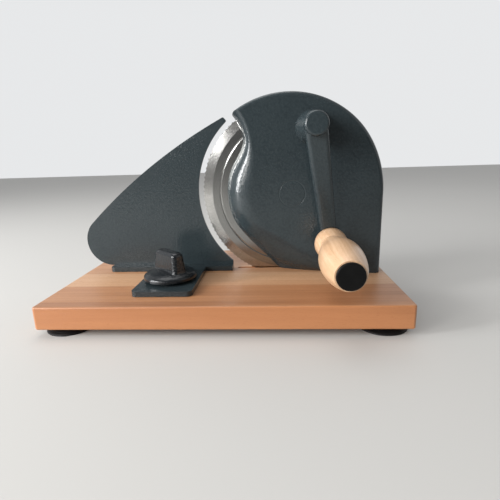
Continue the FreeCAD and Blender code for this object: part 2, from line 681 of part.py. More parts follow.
def arm_section(distance, middle, width, thickness):
    """Rectangle across the arm at one distance from the crank axis."""
    angle = math.radians(CRANK_REST_ANGLE)
    centre_x = CRANK_X + distance * math.cos(angle)
    centre_height = CRANK_HEIGHT + distance * math.sin(angle)
    across_x = -math.sin(angle) * width / 2
    across_height = math.cos(angle) * width / 2
    corners = []
    for side, front in ((-1, -1), (1, -1), (1, 1), (-1, 1)):
        forward = middle + front * thickness / 2
        corners.append(place(centre_x + side * across_x, forward, centre_height + side * across_height))
    return Part.makePolygon(corners + [corners[0]])


def make_crank_arm():
    """Cast crank: a tapered hub, an arm that leans in towards the board, and an eye for the grip."""

    def at(radius, forward):
        return place(CRANK_X + radius, forward, CRANK_HEIGHT)

    side = [
        at(HUB_BASE_RADIUS, HUB_BACK),
        at(HUB_SHOULDER_RADIUS, HUB_SHOULDER_PLACE),
        at(HUB_TOP_RADIUS, HUB_TAPER_END),
    ]
    edges = [
        Part.makeLine(at(0, HUB_BACK), side[0]),
        spline_through(side),
        Part.makeLine(side[-1], at(HUB_TOP_RADIUS, HUB_FRONT)),
        Part.makeLine(at(HUB_TOP_RADIUS, HUB_FRONT), at(0, HUB_FRONT)),
        Part.makeLine(at(0, HUB_FRONT), at(0, HUB_BACK)),
    ]
    hub = Part.Face(Part.Wire(edges)).revolve(at(0, 0), Vector(0, 1, 0), 360)
    eye_back = EYE_FRONT - ARM_END_THICKNESS
    arm = Part.makeLoft([
        arm_section(0, ARM_TOP_MIDDLE, ARM_TOP_WIDTH, ARM_TOP_THICKNESS),
        arm_section(CRANK_RADIUS, EYE_FRONT - ARM_END_THICKNESS / 2, ARM_END_WIDTH, ARM_END_THICKNESS),
    ], True, True)
    long_edges = [edge for edge in arm.Edges if edge.Length > CRANK_RADIUS * 0.9]
    arm = arm.makeFillet(ARM_EDGE_RADIUS, long_edges)
    eye = leaned(rod(EYE_RADIUS, GRIP_X, GRIP_HEIGHT, eye_back, EYE_FRONT))
    crank = hub.fuse(arm).fuse(eye)
    collar_room = rod(GRIP_COLLAR_RADIUS + 2 * GLIDE, GRIP_X, GRIP_HEIGHT, EYE_FRONT, HUB_FRONT)
    crank = crank.cut(leaned(collar_room))
    crank = crank.cut(rod(SHAFT_RADIUS + SNUG, CRANK_X, CRANK_HEIGHT, 0, SQUARE_BACK))
    crank = crank.cut(square_bar(SHAFT_SQUARE + 2 * SNUG, SQUARE_BACK, SHAFT_FRONT))
    crank = crank.cut(rod(HUB_SOCKET_RADIUS, CRANK_X, CRANK_HEIGHT, SHAFT_FRONT, FAR))
    return crank.cut(leaned(rod(GRIP_BOLT_RADIUS + SNUG, GRIP_X, GRIP_HEIGHT, 0, HUB_FRONT)))


def make_crank_washer():
    """Washer under the crank screw."""
    return rod(HUB_SOCKET_RADIUS - SNUG, CRANK_X, CRANK_HEIGHT, SHAFT_FRONT, CRANK_WASHER_FRONT).cut(
        rod(CRANK_SCREW_RADIUS + SNUG, CRANK_X, CRANK_HEIGHT, 0, FAR))


def make_crank_screw():
    """Screw that draws the crank onto the shaft."""
    return turned([
        (0, SHAFT_FRONT - CRANK_SCREW_LENGTH + 1),
        (CRANK_SCREW_RADIUS, SHAFT_FRONT - CRANK_SCREW_LENGTH + 1),
        (CRANK_SCREW_RADIUS, CRANK_WASHER_FRONT),
        (CRANK_SCREW_HEAD_RADIUS, CRANK_WASHER_FRONT),
        (CRANK_SCREW_HEAD_RADIUS, CRANK_SCREW_FRONT),
        (0, CRANK_SCREW_FRONT),
    ], CRANK_X, CRANK_HEIGHT)


def make_hub_cap():
    """Round cover pressed into the front of the hub."""
    front = HUB_FRONT + HUB_CAP_HEIGHT
    cap = turned([
        (0, HUB_FRONT - HUB_CAP_SPIGOT),
        (HUB_SOCKET_RADIUS - SNUG, HUB_FRONT - HUB_CAP_SPIGOT),
        (HUB_SOCKET_RADIUS - SNUG, HUB_FRONT),
        (HUB_CAP_RADIUS, HUB_FRONT),
        (HUB_CAP_RADIUS, front),
        (0, front),
    ], CRANK_X, CRANK_HEIGHT)
    return cap.makeFillet(HUB_CAP_EDGE, rim_edges(cap, front, HUB_CAP_RADIUS))


# ---------------------------------------------------------------- grip group
def leaned(shape):
    """Tilt a piece of the grip outward, about the front of the arm's eye."""
    angle = math.radians(CRANK_REST_ANGLE)
    across_arm = Vector(-math.sin(angle), 0, math.cos(angle))
    shape.rotate(place(GRIP_X, EYE_FRONT, GRIP_HEIGHT), across_arm, GRIP_LEAN)
    return shape


def make_crank_grip():
    """Turned wooden grip: collar, waist and egg shaped belly, bored for the bolt and its head."""

    def at(radius, from_back):
        return place(GRIP_X + radius, GRIP_BACK + from_back, GRIP_HEIGHT)

    bore = GRIP_BOLT_RADIUS + RUNNING
    easing = GRIP_COLLAR_RADIUS - GRIP_WAIST_RADIUS
    swell = GRIP_BELLY_RADIUS - GRIP_WAIST_RADIUS
    collar = [
        at(GRIP_COLLAR_RADIUS, GRIP_COLLAR_LENGTH - easing),
        at(GRIP_COLLAR_RADIUS - easing * 0.3, GRIP_COLLAR_LENGTH),
        at(GRIP_WAIST_RADIUS, GRIP_WAIST_PLACE),
    ]
    belly = [
        at(GRIP_WAIST_RADIUS, GRIP_WAIST_PLACE),
        at(GRIP_WAIST_RADIUS + swell * GRIP_SWELL_SHARE, (2 * GRIP_WAIST_PLACE + GRIP_BELLY_PLACE) / 3),
        at(GRIP_BELLY_RADIUS, GRIP_BELLY_PLACE),
        at(GRIP_SHOULDER_RADIUS, GRIP_SHOULDER_PLACE),
        at(GRIP_END_RADIUS, GRIP_LENGTH),
    ]
    edges = [
        Part.makeLine(at(bore, 0), at(GRIP_COLLAR_RADIUS - easing / 4, 0)),
        Part.makeLine(at(GRIP_COLLAR_RADIUS - easing / 4, 0), at(GRIP_COLLAR_RADIUS, easing / 4)),
        Part.makeLine(at(GRIP_COLLAR_RADIUS, easing / 4), collar[0]),
        spline_through(collar),
        spline_through(belly),
        Part.makeLine(belly[-1], at(bore, GRIP_LENGTH)),
        Part.makeLine(at(bore, GRIP_LENGTH), at(bore, 0)),
    ]
    face = Part.Face(Part.Wire(edges))
    grip = face.revolve(place(GRIP_X, 0, GRIP_HEIGHT), Vector(0, 1, 0), 360)
    socket_back = GRIP_FRONT - GRIP_SOCKET_DEPTH
    return leaned(grip.cut(rod(GRIP_SOCKET_RADIUS, GRIP_X, GRIP_HEIGHT, socket_back, CAP_FRONT)))


def make_grip_bolt():
    """Bolt fixed in the arm's eye, on which the grip turns."""
    head_back = GRIP_FRONT - GRIP_SOCKET_DEPTH + GLIDE
    bolt = turned([
        (0, EYE_FRONT - ARM_END_THICKNESS),
        (GRIP_BOLT_RADIUS, EYE_FRONT - ARM_END_THICKNESS),
        (GRIP_BOLT_RADIUS, head_back),
        (GRIP_BOLT_HEAD_RADIUS, head_back),
        (GRIP_BOLT_HEAD_RADIUS, head_back + GRIP_BOLT_HEAD_HEIGHT),
        (0, head_back + GRIP_BOLT_HEAD_HEIGHT),
    ], GRIP_X, GRIP_HEIGHT)
    return leaned(bolt)


def make_grip_washer():
    """Washer between the arm's eye and the grip."""
    washer = rod(GRIP_WASHER_RADIUS, GRIP_X, GRIP_HEIGHT, EYE_FRONT, EYE_FRONT + GRIP_WASHER_THICKNESS)
    return leaned(washer.cut(rod(GRIP_BOLT_RADIUS + SNUG, GRIP_X, GRIP_HEIGHT, 0, FAR)))


def make_grip_end_cap():
    """Plug that closes the end of the grip."""
    cap = turned([
        (0, GRIP_FRONT - END_CAP_SPIGOT),
        (GRIP_SOCKET_RADIUS - SNUG, GRIP_FRONT - END_CAP_SPIGOT),
        (GRIP_SOCKET_RADIUS - SNUG, GRIP_FRONT),
        (END_CAP_RADIUS, GRIP_FRONT),
        (END_CAP_RADIUS, CAP_FRONT),
        (0, CAP_FRONT),
    ], GRIP_X, GRIP_HEIGHT)
    return leaned(cap.makeFillet(END_CAP_EDGE, rim_edges(cap, CAP_FRONT, END_CAP_RADIUS)))


# ---------------------------------------------------------------- board and feet
def foot_places():
    """Centres of the feet as x and forward."""
    left = SIDE_X - BOARD_LENGTH + FOOT_SIDE_INSET
    right = SIDE_X - FOOT_SIDE_INSET
    front = BOARD_IN_FRONT - FOOT_END_INSET
    back = FOOT_END_INSET - BOARD_BEHIND
    return [(x, forward) for x in (left, right) for forward in (front, back)]


def make_board():
    """Wooden board with the blade's slot, the guide groove and the holes for screws and stud."""
    left = SIDE_X - BOARD_LENGTH
    board = block(left, SIDE_X, -BOARD_BEHIND, BOARD_IN_FRONT, -BOARD_THICKNESS, 0)
    board = board.makeFillet(BOARD_CORNER_RADIUS, edges_along(board, Vector(0, 0, 1)))
    rims = [edge for edge in board.Edges if abs(edge.tangentAt(edge.FirstParameter).z) < 0.5]
    board = board.makeFillet(BOARD_EDGE_RADIUS, rims)

    slot_half = math.sqrt(BLADE_RADIUS ** 2 - AXIS_HEIGHT ** 2) + BLADE_SLOT_END_ROOM
    slot_middle = BLADE_THICKNESS / 2
    slot_back = slot_middle - BLADE_SLOT_WIDTH / 2
    slot_front = slot_middle + BLADE_SLOT_WIDTH / 2
    slot_floor = -BLADE_DIP - BLADE_SLOT_FLOOR_ROOM
    straight = slot_half - BLADE_SLOT_WIDTH / 2
    cuts = [block(-straight, straight, slot_back, slot_front, slot_floor, FAR)]
    for x in (-straight, straight):
        cuts.append(post(BLADE_SLOT_WIDTH / 2, x, slot_middle, slot_floor, FAR))

    rib_half = SLIDE_RIB_WIDTH / 2 + GLIDE
    groove_front = RIB_FRONT + SLIDE_TRAVEL
    groove_back = RIB_BACK
    groove_floor = -SLIDE_RIB_HEIGHT
    cuts.append(block(SLIDE_FOOT_X - rib_half, SLIDE_FOOT_X + rib_half,
                      groove_back, groove_front, groove_floor, FAR))
    for forward in (groove_back, groove_front):
        cuts.append(post(rib_half, SLIDE_FOOT_X, forward, groove_floor, FAR))

    stud_floor = -BOARD_THICKNESS + STUD_HEAD_HEIGHT + STUD_WASHER_THICKNESS
    cuts.append(post(STUD_RADIUS + SNUG, SLIDE_FOOT_X, STUD_FORWARD, -FAR, FAR))
    cuts.append(post(STUD_HEAD_RADIUS + GLIDE, SLIDE_FOOT_X, STUD_FORWARD, -FAR, stud_floor))
    for x, forward in HOUSING_SCREW_PLACES:
        cuts.append(post(HOUSING_SCREW_RADIUS + SNUG, x, forward, -FAR, FAR))
        cuts.append(post(HOUSING_SCREW_HEAD_RADIUS + GLIDE, x, forward, -FAR, HOUSING_SCREW_SEAT))
    for x, forward in foot_places():
        cuts.append(post(FOOT_SCREW_RADIUS + SNUG, x, forward, -FAR, FOOT_SCREW_TOP))
    for tool in cuts:
        board = board.cut(tool)
    return board


def make_suction_feet():
    """Rubber suction feet: a neck that flares to a wide lip with a hollow underneath."""
    floor = -BOARD_THICKNESS - FOOT_HEIGHT
    feet = []
    for x, forward in foot_places():
        feet.append(turned_upright([
            (FOOT_SCREW_RADIUS + SNUG, -BOARD_THICKNESS),
            (FOOT_NECK_RADIUS, -BOARD_THICKNESS),
            (FOOT_NECK_RADIUS + 2, -BOARD_THICKNESS - FOOT_HEIGHT * 0.3),
            (FOOT_RADIUS * 0.78, -BOARD_THICKNESS - FOOT_HEIGHT * 0.5),
            (FOOT_RADIUS, floor + FOOT_LIP),
            (FOOT_RADIUS, floor),
            (FOOT_RADIUS - 2 * FOOT_LIP, floor),
            (FOOT_SCREW_HEAD_RADIUS + 1, floor + FOOT_HOLLOW),
            (FOOT_SCREW_RADIUS + SNUG, floor + FOOT_HOLLOW),
        ], x, forward))
    return Part.makeCompound(feet)


def make_foot_screws():
    """Screws from below through the feet into the board."""
    seat = -BOARD_THICKNESS - FOOT_HEIGHT + FOOT_HOLLOW
    screws = []
    for x, forward in foot_places():
        screws.append(turned_upright([
            (0, seat - FOOT_SCREW_RADIUS * 0.8),
            (FOOT_SCREW_HEAD_RADIUS * 0.7, seat - FOOT_SCREW_RADIUS * 0.8),
            (FOOT_SCREW_HEAD_RADIUS, seat),
            (FOOT_SCREW_RADIUS, seat),
            (FOOT_SCREW_RADIUS, FOOT_SCREW_TOP - FOOT_SCREW_RADIUS),
            (0, FOOT_SCREW_TOP),
        ], x, forward))
    return Part.makeCompound(screws)


def make_housing_screws():
    """Machine screws from below the board into the housing's bosses."""
    end = HOUSING_BOSS_HEIGHT - HOUSING_WALL - 2
    screws = []
    for x, forward in HOUSING_SCREW_PLACES:
        screws.append(turned_upright([
            (0, HOUSING_SCREW_SEAT - HOUSING_SCREW_RADIUS),
            (HOUSING_SCREW_HEAD_RADIUS * 0.8, HOUSING_SCREW_SEAT - HOUSING_SCREW_RADIUS),
            (HOUSING_SCREW_HEAD_RADIUS, HOUSING_SCREW_SEAT - HOUSING_SCREW_RADIUS * 0.6),
            (HOUSING_SCREW_HEAD_RADIUS, HOUSING_SCREW_SEAT),
            (HOUSING_SCREW_RADIUS, HOUSING_SCREW_SEAT),
            (HOUSING_SCREW_RADIUS, end),
            (0, end),
        ], x, forward))
    return Part.makeCompound(screws)


# ---------------------------------------------------------------- sliding base and stop plate
FOOT_SCREW_TOP = FOOT_SCREW_LENGTH - BOARD_THICKNESS - FOOT_HEIGHT + FOOT_HOLLOW
HOUSING_SCREW_HEAD_RADIUS = 2 * HOUSING_SCREW_RADIUS
HOUSING_SCREW_SEAT = -BOARD_THICKNESS / 2
BAR_LEFT = SLIDE_BAR_RIGHT - SLIDE_BAR_LENGTH
NOSE_X = SIDE_X - BOARD_LENGTH + PLATE_NOSE_RADIUS
NOSE_HEIGHT = SLIDE_TOP + PLATE_NOSE_RADIUS
STUD_SLOT_BACK = STUD_FORWARD - SLIDE_TRAVEL
RIB_BACK = SLIDE_BAR_DEPTH / 2
RIB_FRONT = SLIDE_FOOT_FRONT - SLIDE_TRAVEL - SLIDE_RIB_WIDTH


def make_slide_base():
    """T shaped base plate: a bar under the stop plate, a foot under the knob and a guide rib below."""
    bar = block(BAR_LEFT, SLIDE_BAR_RIGHT, PLATE_THICKNESS, SLIDE_BAR_DEPTH, GLIDE, SLIDE_TOP)
    half = SLIDE_FOOT_WIDTH / 2
    foot = block(SLIDE_FOOT_X - half, SLIDE_FOOT_X + half,
                 PLATE_THICKNESS, SLIDE_FOOT_FRONT, GLIDE, SLIDE_TOP)
    front_y = place(0, SLIDE_FOOT_FRONT, 0).y
    corners = [edge for edge in edges_along(foot, Vector(0, 0, 1))
               if abs(edge.CenterOfMass.y - front_y) < 0.01]
    foot = foot.makeFillet(SLIDE_CORNER_RADIUS, corners)
    bar_x = place(BAR_LEFT, 0, 0).x
    bar_y = place(0, SLIDE_BAR_DEPTH, 0).y
    ends = [edge for edge in edges_along(bar, Vector(0, 0, 1))
            if abs(edge.CenterOfMass.x - bar_x) < 0.01 and abs(edge.CenterOfMass.y - bar_y) < 0.01]
    bar = bar.makeFillet(SLIDE_CORNER_RADIUS, ends)
    rib_half = SLIDE_RIB_WIDTH / 2
    rib = block(SLIDE_FOOT_X - rib_half, SLIDE_FOOT_X + rib_half, RIB_BACK, RIB_FRONT,
                GLIDE - SLIDE_RIB_HEIGHT, SLIDE_TOP)
    base = bar.fuse(foot).fuse(rib)
    slot_half = STUD_RADIUS + GLIDE
    base = base.cut(block(SLIDE_FOOT_X - slot_half, SLIDE_FOOT_X + slot_half,
                          STUD_SLOT_BACK, STUD_FORWARD, -FAR, FAR))
    for forward in (STUD_SLOT_BACK, STUD_FORWARD):
        base = base.cut(post(slot_half, SLIDE_FOOT_X, forward, -FAR, FAR))
    for x in plate_screw_places():
        hole_front = PLATE_SCREW_LENGTH + 1
        base = base.cut(rod(PLATE_SCREW_RADIUS + SNUG, x, PLATE_SCREW_HEIGHT, 0, hole_front))
    return base.removeSplitter()


PLATE_SCREW_HEIGHT = GLIDE + SLIDE_THICKNESS / 2


def plate_screw_places():
    """Evenly spaced places of the plate's screws along the bar."""
    pitch = SLIDE_BAR_LENGTH / PLATE_SCREW_COUNT
    return [BAR_LEFT + pitch * (index + 0.5) for index in range(PLATE_SCREW_COUNT)]


def make_stop_plate():
    """Upright plate with a hollow edge concentric with the blade and a rounded nose."""
    inner_x, inner_height = polar(PLATE_HOLLOW_RADIUS, PLATE_TIP_ANGLE)
    tip_x, tip_height = polar(PLATE_HOLLOW_RADIUS + PLATE_TIP_WIDTH, PLATE_TIP_ANGLE)
    nose_angle = math.radians(PLATE_NOSE_LEAN)
    nose_top_x = NOSE_X + PLATE_NOSE_RADIUS * math.cos(nose_angle)
    nose_top_height = NOSE_HEIGHT + PLATE_NOSE_RADIUS * math.sin(nose_angle)
    run_x, run_height = nose_top_x - tip_x, nose_top_height - tip_height
    run = math.hypot(run_x, run_height)
    crown_x = (tip_x + nose_top_x) / 2 + PLATE_EDGE_CROWN * run_height / run
    crown_height = (tip_height + nose_top_height) / 2 - PLATE_EDGE_CROWN * run_x / run
    mid_x, mid_height = polar(PLATE_HOLLOW_RADIUS, 180)

    def at(x, height):
        return place(x, 0, height)

    tip = at(tip_x, tip_height)
    inner_tip = at(inner_x, inner_height)
    nose_top = at(nose_top_x, nose_top_height)
    nose_bottom = at(NOSE_X, NOSE_HEIGHT - PLATE_NOSE_RADIUS)
    below_axis = math.sqrt(PLATE_HOLLOW_RADIUS ** 2 - SLIDE_BAR_RIGHT ** 2)
    hollow_bottom = at(SLIDE_BAR_RIGHT, AXIS_HEIGHT - below_axis)
    edges = [
        Part.Arc(tip, at(crown_x, crown_height), nose_top).toShape(),
        Part.Arc(nose_top, at(NOSE_X - PLATE_NOSE_RADIUS, NOSE_HEIGHT), nose_bottom).toShape(),
        Part.makeLine(nose_bottom, at(BAR_LEFT, SLIDE_TOP)),
        Part.makeLine(at(BAR_LEFT, SLIDE_TOP), at(BAR_LEFT, GLIDE)),
        Part.makeLine(at(BAR_LEFT, GLIDE), at(SLIDE_BAR_RIGHT, GLIDE)),
        Part.makeLine(at(SLIDE_BAR_RIGHT, GLIDE), hollow_bottom),
        Part.Arc(hollow_bottom, at(mid_x, mid_height), inner_tip).toShape(),
        Part.makeLine(inner_tip, tip),
    ]
    plate = Part.Face(Part.Wire(edges)).extrude(Vector(0, -PLATE_THICKNESS, 0))
    tip_edges = [edge for edge in edges_along(plate, Vector(0, 1, 0))
                 if (edge.CenterOfMass - tip).Length < PLATE_THICKNESS + PLATE_TIP_WIDTH]
    plate = plate.makeFillet(PLATE_CORNER_RADIUS, tip_edges)
    for x in plate_screw_places():
        plate = plate.cut(turned([
            (0, -1),
            (PLATE_SCREW_HEAD_RADIUS + 1 + SNUG, -1),
            (PLATE_SCREW_RADIUS + SNUG, PLATE_SCREW_HEAD_RADIUS - PLATE_SCREW_RADIUS),
            (PLATE_SCREW_RADIUS + SNUG, 2 * PLATE_THICKNESS),
            (0, 2 * PLATE_THICKNESS),
        ], x, PLATE_SCREW_HEIGHT))
    return plate


def make_plate_screws():
    """Countersunk screws through the stop plate into the bar."""
    screws = []
    for x in plate_screw_places():
        screws.append(turned([
            (0, 0),
            (PLATE_SCREW_HEAD_RADIUS, 0),
            (PLATE_SCREW_RADIUS, PLATE_SCREW_HEAD_RADIUS - PLATE_SCREW_RADIUS),
            (PLATE_SCREW_RADIUS, PLATE_SCREW_LENGTH),
            (0, PLATE_SCREW_LENGTH),
        ], x, PLATE_SCREW_HEIGHT))
    return Part.makeCompound(screws)


# ---------------------------------------------------------------- clamp
CLAMP_WASHER_BOTTOM = SLIDE_TOP + GLIDE
KNOB_BOTTOM = CLAMP_WASHER_BOTTOM + CLAMP_WASHER_THICKNESS
KNOB_TOP = KNOB_BOTTOM + KNOB_HEIGHT
INSERT_TOP = KNOB_BOTTOM + INSERT_LENGTH


def make_clamp_stud():
    """Stud held by its head under the board, up through the base into the knob."""
    head_bottom = -BOARD_THICKNESS
    shoulder = head_bottom + STUD_HEAD_HEIGHT
    end = INSERT_TOP - 1
    return turned_upright([
        (0, head_bottom),
        (STUD_HEAD_RADIUS * 0.7, head_bottom),
        (STUD_HEAD_RADIUS, head_bottom + STUD_HEAD_HEIGHT * 0.4),
        (STUD_HEAD_RADIUS, shoulder),
        (STUD_RADIUS, shoulder),
        (STUD_RADIUS, end),
        (0, end),
    ], SLIDE_FOOT_X, STUD_FORWARD)


def make_stud_washer():
    """Washer between the stud's head and the board."""
    bottom = -BOARD_THICKNESS + STUD_HEAD_HEIGHT
    return post(STUD_HEAD_RADIUS, SLIDE_FOOT_X, STUD_FORWARD, bottom, bottom + STUD_WASHER_THICKNESS).cut(
        post(STUD_RADIUS + SNUG, SLIDE_FOOT_X, STUD_FORWARD, -FAR, FAR))


def make_clamp_washer():
    """Washer under the knob, over the base's slot."""
    return post(CLAMP_WASHER_RADIUS, SLIDE_FOOT_X, STUD_FORWARD, CLAMP_WASHER_BOTTOM, KNOB_BOTTOM).cut(
        post(STUD_RADIUS + RUNNING, SLIDE_FOOT_X, STUD_FORWARD, -FAR, FAR))


def make_knob_insert():
    """Threaded insert moulded into the knob."""
    return post(INSERT_RADIUS, SLIDE_FOOT_X, STUD_FORWARD, KNOB_BOTTOM, INSERT_TOP).cut(
        post(STUD_RADIUS + RUNNING, SLIDE_FOOT_X, STUD_FORWARD, -FAR, FAR))


def wing_section(height, length, thickness):
    """Rectangle of the wing at one height."""
    corners = []
    for along, across in ((-1, -1), (1, -1), (1, 1), (-1, 1)):
        x = SLIDE_FOOT_X + along * length / 2
        corners.append(place(x, STUD_FORWARD + across * thickness / 2, height))
    return Part.makePolygon(corners + [corners[0]])


def make_clamp_knob():
    """Round knob with a low dome and an upright wing to grip."""
    rim_top = KNOB_BOTTOM + KNOB_SKIRT_HEIGHT
    dome_rise = KNOB_DOME_HEIGHT - KNOB_SKIRT_HEIGHT
    profile = [(0, KNOB_BOTTOM), (KNOB_RADIUS - 0.5, KNOB_BOTTOM), (KNOB_RADIUS, KNOB_BOTTOM + 0.5)]
    for share in (0, 0.25, 0.45, 0.62, 0.76, 0.87, 0.95, 1):
        radius = KNOB_RADIUS * (1 - share ** KNOB_DOME_FULLNESS) ** (1 / KNOB_DOME_FULLNESS)
        profile.append((radius, rim_top + dome_rise * share))
    body = turned_upright(profile, SLIDE_FOOT_X, STUD_FORWARD)
    wing = Part.makeLoft([
        wing_section(rim_top, KNOB_WING_LENGTH, KNOB_WING_THICKNESS),
        wing_section(KNOB_TOP, KNOB_WING_TOP_LENGTH, KNOB_WING_TOP_THICKNESS),
    ], True, True)
    foot_height = place(0, 0, rim_top).z
    wing = wing.makeFillet(KNOB_EDGE_RADIUS, [edge for edge in wing.Edges
                                              if edge.CenterOfMass.z > foot_height + 0.1])
    wing.rotate(place(SLIDE_FOOT_X, STUD_FORWARD, 0), Vector(0, 0, 1), KNOB_WING_ANGLE)
    knob = body.fuse(wing)
    knob = knob.cut(post(INSERT_RADIUS + SNUG, SLIDE_FOOT_X, STUD_FORWARD, 0, INSERT_TOP + SNUG))
    ring = post(KNOB_RADIUS - KNOB_RIM_WALL, SLIDE_FOOT_X, STUD_FORWARD, 0, KNOB_BOTTOM + KNOB_HOLLOW).cut(
        post(CLAMP_WASHER_RADIUS, SLIDE_FOOT_X, STUD_FORWARD, -FAR, FAR))
    return knob.cut(ring)


# ---------------------------------------------------------------- the assembly
os.makedirs("parts", exist_ok=True)
save("base_board", make_board())
save("suction_feet", make_suction_feet())
save("foot_screws", make_foot_screws())
save("housing", make_housing())
save("housing_screws", make_housing_screws())
save("blade_axle", make_blade_axle())
save("thrust_washer", make_thrust_washer())
save("blade_washer", make_blade_washer())
save("blade_screw", make_blade_screw())
save("blade", make_blade())
save("blade_gear", make_blade_gear())
save("blade_bush", make_blade_bush())
save("gear_screws", make_gear_screws())
save("crank_bush", make_crank_bush())
save("crank_shaft", make_crank_shaft())
save("crank_gear", make_crank_gear())
save("gear_key", key_box(0.0))
save("crank_arm", make_crank_arm())
save("crank_washer", make_crank_washer())
save("crank_screw", make_crank_screw())
save("hub_cap", make_hub_cap())
save("grip_bolt", make_grip_bolt())
save("grip_washer", make_grip_washer())
save("crank_grip", make_crank_grip())
save("grip_end_cap", make_grip_end_cap())
save("slide_base", make_slide_base())
save("stop_plate", make_stop_plate())
save("plate_screws", make_plate_screws())
save("clamp_stud", make_clamp_stud())
save("stud_washer", make_stud_washer())
save("clamp_washer", make_clamp_washer())
save("clamp_knob", make_clamp_knob())
save("knob_insert", make_knob_insert())
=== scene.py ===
import logging
import math
from dataclasses import dataclass, field
from enum import Enum
from typing import Any, Sequence

import bpy
import numpy as np
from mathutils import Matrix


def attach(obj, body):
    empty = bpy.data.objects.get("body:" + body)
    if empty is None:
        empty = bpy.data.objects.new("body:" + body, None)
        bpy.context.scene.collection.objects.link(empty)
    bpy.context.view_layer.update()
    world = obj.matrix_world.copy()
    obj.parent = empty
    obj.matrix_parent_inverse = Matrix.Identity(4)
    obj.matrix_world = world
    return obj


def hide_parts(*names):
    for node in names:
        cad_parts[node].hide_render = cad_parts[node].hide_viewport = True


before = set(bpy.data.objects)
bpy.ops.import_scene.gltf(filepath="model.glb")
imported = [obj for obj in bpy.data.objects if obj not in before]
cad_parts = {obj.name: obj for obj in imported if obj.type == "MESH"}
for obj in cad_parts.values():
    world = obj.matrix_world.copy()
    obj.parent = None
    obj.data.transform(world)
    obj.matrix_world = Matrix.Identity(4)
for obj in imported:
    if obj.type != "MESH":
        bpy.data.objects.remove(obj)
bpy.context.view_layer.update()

LOG = logging.getLogger("bread_slicer")

Array = np.ndarray
Colour = tuple[float, float, float]


# ---------------------------------------------------------------- places
# Lengths in millimetres in the part's own frame, angles in degrees.
BLADE_X = 67.0
BLADE_Y = 30.1229
BOARD_TOP = 28.6
AXIS_HEIGHT = 84.6
HOUSING_FRONT = 28.0
CRANK_X = 18.745
CRANK_HEIGHT = 147.882
CRANK_RADIUS = 112.4
CRANK_REST = -80.7
EYE_FRONT = 44.0
GRIP_GAP = 1.1
GRIP_LEAN = 2.4
SHARP_ANGLE = 38.0
TINY = 1e-6


def place(x: float, forward: float, height: float) -> Array:
    """Point in the part's frame, in metres.

    Args:
        x: millimetres to the right of the blade's axis.
        forward: millimetres in front of the blade's back face.
        height: millimetres above the top of the board.

    Returns:
        The point as three coordinates in metres.
    """
    return np.array([BLADE_X + x, BLADE_Y - forward, BOARD_TOP + height]) / 1000


# The head of the blade's axle in the housing's front, and the seam round it, in metres.
AXLE_HEAD = [float(value) for value in place(0.0, HOUSING_FRONT, AXIS_HEIGHT)]
SEAM_RADIUS = 0.013


# ---------------------------------------------------------------- surfaces
NO_FANS = np.empty((0, 3), dtype=int)


class Facing(Enum):
    """Directions in which a turned piece may point."""

    UP = (0.0, 0.0, 1.0)
    DOWN = (0.0, 0.0, -1.0)
    FRONT = (0.0, -1.0, 0.0)
    BACK = (0.0, 1.0, 0.0)


@dataclass(frozen=True)
class Spindle:
    """An axis in space: a foot point and the direction in which it points."""

    foot: Array
    direction: Array

    def sides(self) -> tuple[Array, Array]:
        """Two unit vectors that stand square to the axis and to each other."""
        hint = [1.0, 0.0, 0.0] if abs(self.direction[0]) < 0.9 else [0.0, 0.0, 1.0]
        first = np.cross(self.direction, hint)
        first = first / np.linalg.norm(first)
        return first, np.cross(self.direction, first)

    def points(self, radius: Array, turn: Array, along: Array) -> Array:
        """Points round the axis: foot + along * direction + radius * (cos turn, sin turn).

        Args:
            radius: distances from the axis, in millimetres.
            turn: angles round the axis, in radians.
            along: distances along the axis, in millimetres.

        Returns:
            An array of points in metres, with one more dimension than the arguments.
        """
        first, second = self.sides()
        radius, turn, along = np.broadcast_arrays(radius, turn, along)
        spread = ((radius * np.cos(turn))[..., None] * first
                  + (radius * np.sin(turn))[..., None] * second)
        return self.foot + (spread + along[..., None] * self.direction) / 1000


def turned_outward(points: Array, quads: Array, fans: Array) -> tuple[Array, Array]:
    """Quads and triangles of a closed shape, turned so that the enclosed volume is positive.

    Args:
        points: vertices, of shape (count, 3).
        quads: vertex numbers of the four sided faces.
        fans: vertex numbers of the three sided faces.

    Returns:
        The quads and the triangles.
    """
    corners = np.concatenate([quads[:, [0, 1, 2]], quads[:, [0, 2, 3]], fans])
    first, second, third = (points[corners[:, index]] - points[0] for index in range(3))
    if np.einsum("ij,ij->i", first, np.cross(second, third)).sum() < 0:
        return quads[:, ::-1], fans[:, ::-1]
    return quads, fans


def closed_mesh(name: str, grid: Array) -> bpy.types.Object:
    """Object from a grid of points whose columns run round and whose first and last rows close.

    The rows are joined by quads, the columns wrap round, and each end is closed by a fan of
    triangles to the mean of its row.

    Args:
        name: the piece's name.
        grid: points in metres, of shape (rows, columns, 3).

    Returns:
        The new object, linked to the scene, with its place in its mesh.
    """
    rows, columns = grid.shape[:2]
    points = np.concatenate([grid.reshape(-1, 3), grid[0].mean(0)[None], grid[-1].mean(0)[None]])
    here = np.arange(rows * columns).reshape(rows, columns)
    beside = np.roll(here, -1, axis=1)
    quads = np.stack([here[:-1], here[1:], beside[1:], beside[:-1]], axis=-1).reshape(-1, 4)
    start = np.stack([np.full(columns, rows * columns), here[0], beside[0]], axis=-1)
    end = np.stack([np.full(columns, rows * columns + 1), beside[-1], here[-1]], axis=-1)
    fans = np.concatenate([start, end])
    return mesh_object(name, points, *turned_outward(points, quads, fans))


